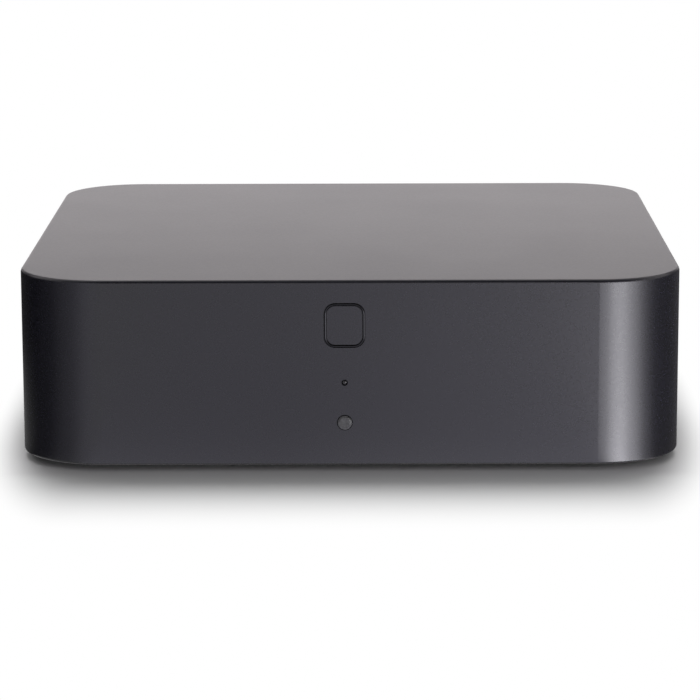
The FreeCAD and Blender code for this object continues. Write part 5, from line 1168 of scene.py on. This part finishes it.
def by_angle(at, stops, twist=0.0, fade=1.0):
    """A pattern that follows the angle round a point, from the front towards the right, in degrees.

    It is twisted by some degrees close to the point and straight from 45 mm on, and it fades to a share of itself
    at 150 mm.
    """

    def pattern(made):
        where = made.place(centre=(at[0] / MM, at[1] / MM, 0))
        back = made.times(made.axis(where, "Y"), -1)
        away = made.node("VectorMath", {0: where}, operation="LENGTH").outputs["Value"]
        turn = made.math("ARCTAN2", made.axis(where, "X"), back)
        turn = made.plus(turn, made.levels(away, 10, 45, math.radians(twist), 0))
        ramp = made.node("ValToRGB", {"Fac": made.levels(turn, -math.pi, math.pi, 0, 1)})
        ramp.color_ramp.interpolation = "EASE"
        marks = ramp.color_ramp.elements
        while len(marks) < len(stops):
            marks.new(0.5)
        for mark, (angle, value) in zip(marks, stops):
            mark.position = (angle + 180) / 360
            mark.color = (value, value, value, 1)
        return made.times(ramp.outputs["Color"], made.levels(away, 15, 150, 1, fade))

    return pattern


# %% Sheets, curtains and standing cards
SHEET, REACH = 0.0004, 0.35  # m: how high the sheets lie, and how far from a corner the curtains stand
EACH_QUAD = 6  # degrees of a sweep


def sweep(at, start, end, near, far, low, high):
    """Corners of quads between two radii and two heights, from one angle round a point to another."""
    count = max(1, round(abs(end - start) / EACH_QUAD))
    corners = []
    for k in range(count):
        angles = [math.radians(start + (end - start) * j / count) for j in (k, k + 1)]
        ends = [(at[0] + math.sin(a) * near, at[1] - math.cos(a) * near, low) for a in angles]
        ends += [(at[0] + math.sin(a) * far, at[1] - math.cos(a) * far, high) for a in reversed(angles)]
        corners += ends
    return corners


def sheet(at, start, end, near):
    """A sheet on the floor, from a near radius out to the curtains."""
    return sweep(at, start, end, near, REACH, SHEET, SHEET)


def curtain(at, start, end, high):
    """A curtain on the floor, as high as given."""
    return sweep(at, start, end, REACH, REACH, SHEET, high)


def upright(y, low, high, half=0.6):
    """A card that stands across the scene, behind the box."""
    return [(-half, y, low), (half, y, low), (half, y, high), (-half, y, high)]


# %% [markdown]
# ## Setting up the studio
#
# The brightest glow is eleven times as bright as white, so its curtain has to stay lower than the top face.
# Otherwise the top would mirror it in every view from behind. In front lies a glow that brightens to the right, as
# the front face does. Behind the box a bright card stands below a dark one. The satin top blurs the two together,
# and so it darkens from its rear edge to its front edge. Above hangs a card that fades to black towards the front.
# The fine edge between top and front mirrors it, and so does the whole top when it is seen from above.
#
# The positions are in metres, and the angles run from the front towards the right.

# %% Lights
soft_light("overhead_light", (0.0, 0.50, 0.80), (0, 0.0, 0.02), (0.9, 0.8), 3.1)
soft_light("right_light", (0.36, -0.53, 0.16), (0.06, -0.05, 0.03), (0.26, 0.3), 2.5)

# %% Cards round the right corner
RIGHT, LEFT = (0.0554, -0.0619), (-0.0554, -0.0619)
BRIGHTEST = 11.1  # times white
BELOW_TOP = 0.041  # m, just lower than the top face

right_stops = [(0, 0.1), (30, 1.0), (34, 1.0), (47, 0.52), (70, 0.105), (84, 0.024)]
right_stops += [(105, 0.015), (125, 0.012), (150, 0.012)]
right_set = card_finish("right_set", by_angle(RIGHT, right_stops, 9, 0.85), 0.0, BRIGHTEST, (1, 0.985, 1.03))
card("right_sheet", sheet(RIGHT, -2, 178, 0.0112), right_set)
card("right_curtain", curtain(RIGHT, 2, 100, BELOW_TOP), right_set)
card("far_right_curtain", curtain(RIGHT, 100, 164, 0.12), right_set)
card("rear_right_curtain", curtain(RIGHT, 164, 177, 0.06), right_set)

# %% Cards round the left corner
left_stops = [(-100, 0.06), (-80, 0.09), (-48, 0.42), (-18, 1.0)]
left_set = card_finish("left_set", by_angle(LEFT, left_stops), 0.0, 1.0, (1, 0.98, 1.08))
card("left_sheet", sheet(LEFT, -100, -12, 0.015), left_set)
card("left_curtain", curtain(LEFT, -60, -12, 0.3), left_set)
card("mid_left_curtain", curtain(LEFT, -100, -60, 0.17), left_set)

far_stops = [(-170, 0.3), (-148, 0.35), (-134, 0.22), (-118, 0.17), (-106, 0.12), (-100, 0.06)]
far_set = card_finish("far_set", by_angle(LEFT, far_stops, 0, 0.1), 0.0, 1.0)
card("far_sheet", sheet(LEFT, -178, -100, 0.002), far_set)
card("far_left_curtain", curtain(LEFT, -164, -100, 0.12), far_set)

# %% Cards in front, above and behind


def rising(made):
    """Grows from the middle to the right, and a little more close to the box."""
    where = made.place()
    near = made.levels(made.axis(where, "Y"), -110, -76, 1.0, 1.3)
    return made.times(made.levels(made.axis(where, "X"), -15, 62, 0.5, 0.745), near)


def fading(made):
    """Black at the front, and lighter towards the rear."""
    return made.levels(made.axis(made.place(), "Y"), -420, 50, 0, 1, True)


glow_corners = [(-0.06, -0.0725, 0.0002), (0.15, -0.0725, 0.0002), (0.15, -0.5, 0.0002), (-0.06, -0.5, 0.0002)]
card("front_sheet", glow_corners, card_finish("front_glow", rising, 0.0, 2.04, (1, 0.98, 1.1)))
upper_corners = [(-0.6, -0.75, 0.30), (0.6, -0.75, 0.30), (0.6, 0.05, 0.55), (-0.6, 0.05, 0.55)]
card("upper_card", upper_corners, card_finish("fading_card", fading, 0.02, 0.7))
card("back_card", upright(0.26, 0.149, 0.27), card_finish("dark_card", low=0.02))
horizon_glow = card_finish("horizon_glow", low=1.2, colour=(1, 0.95, 0.965))
card("horizon_card", upright(0.25, 0.042, 0.075), horizon_glow)
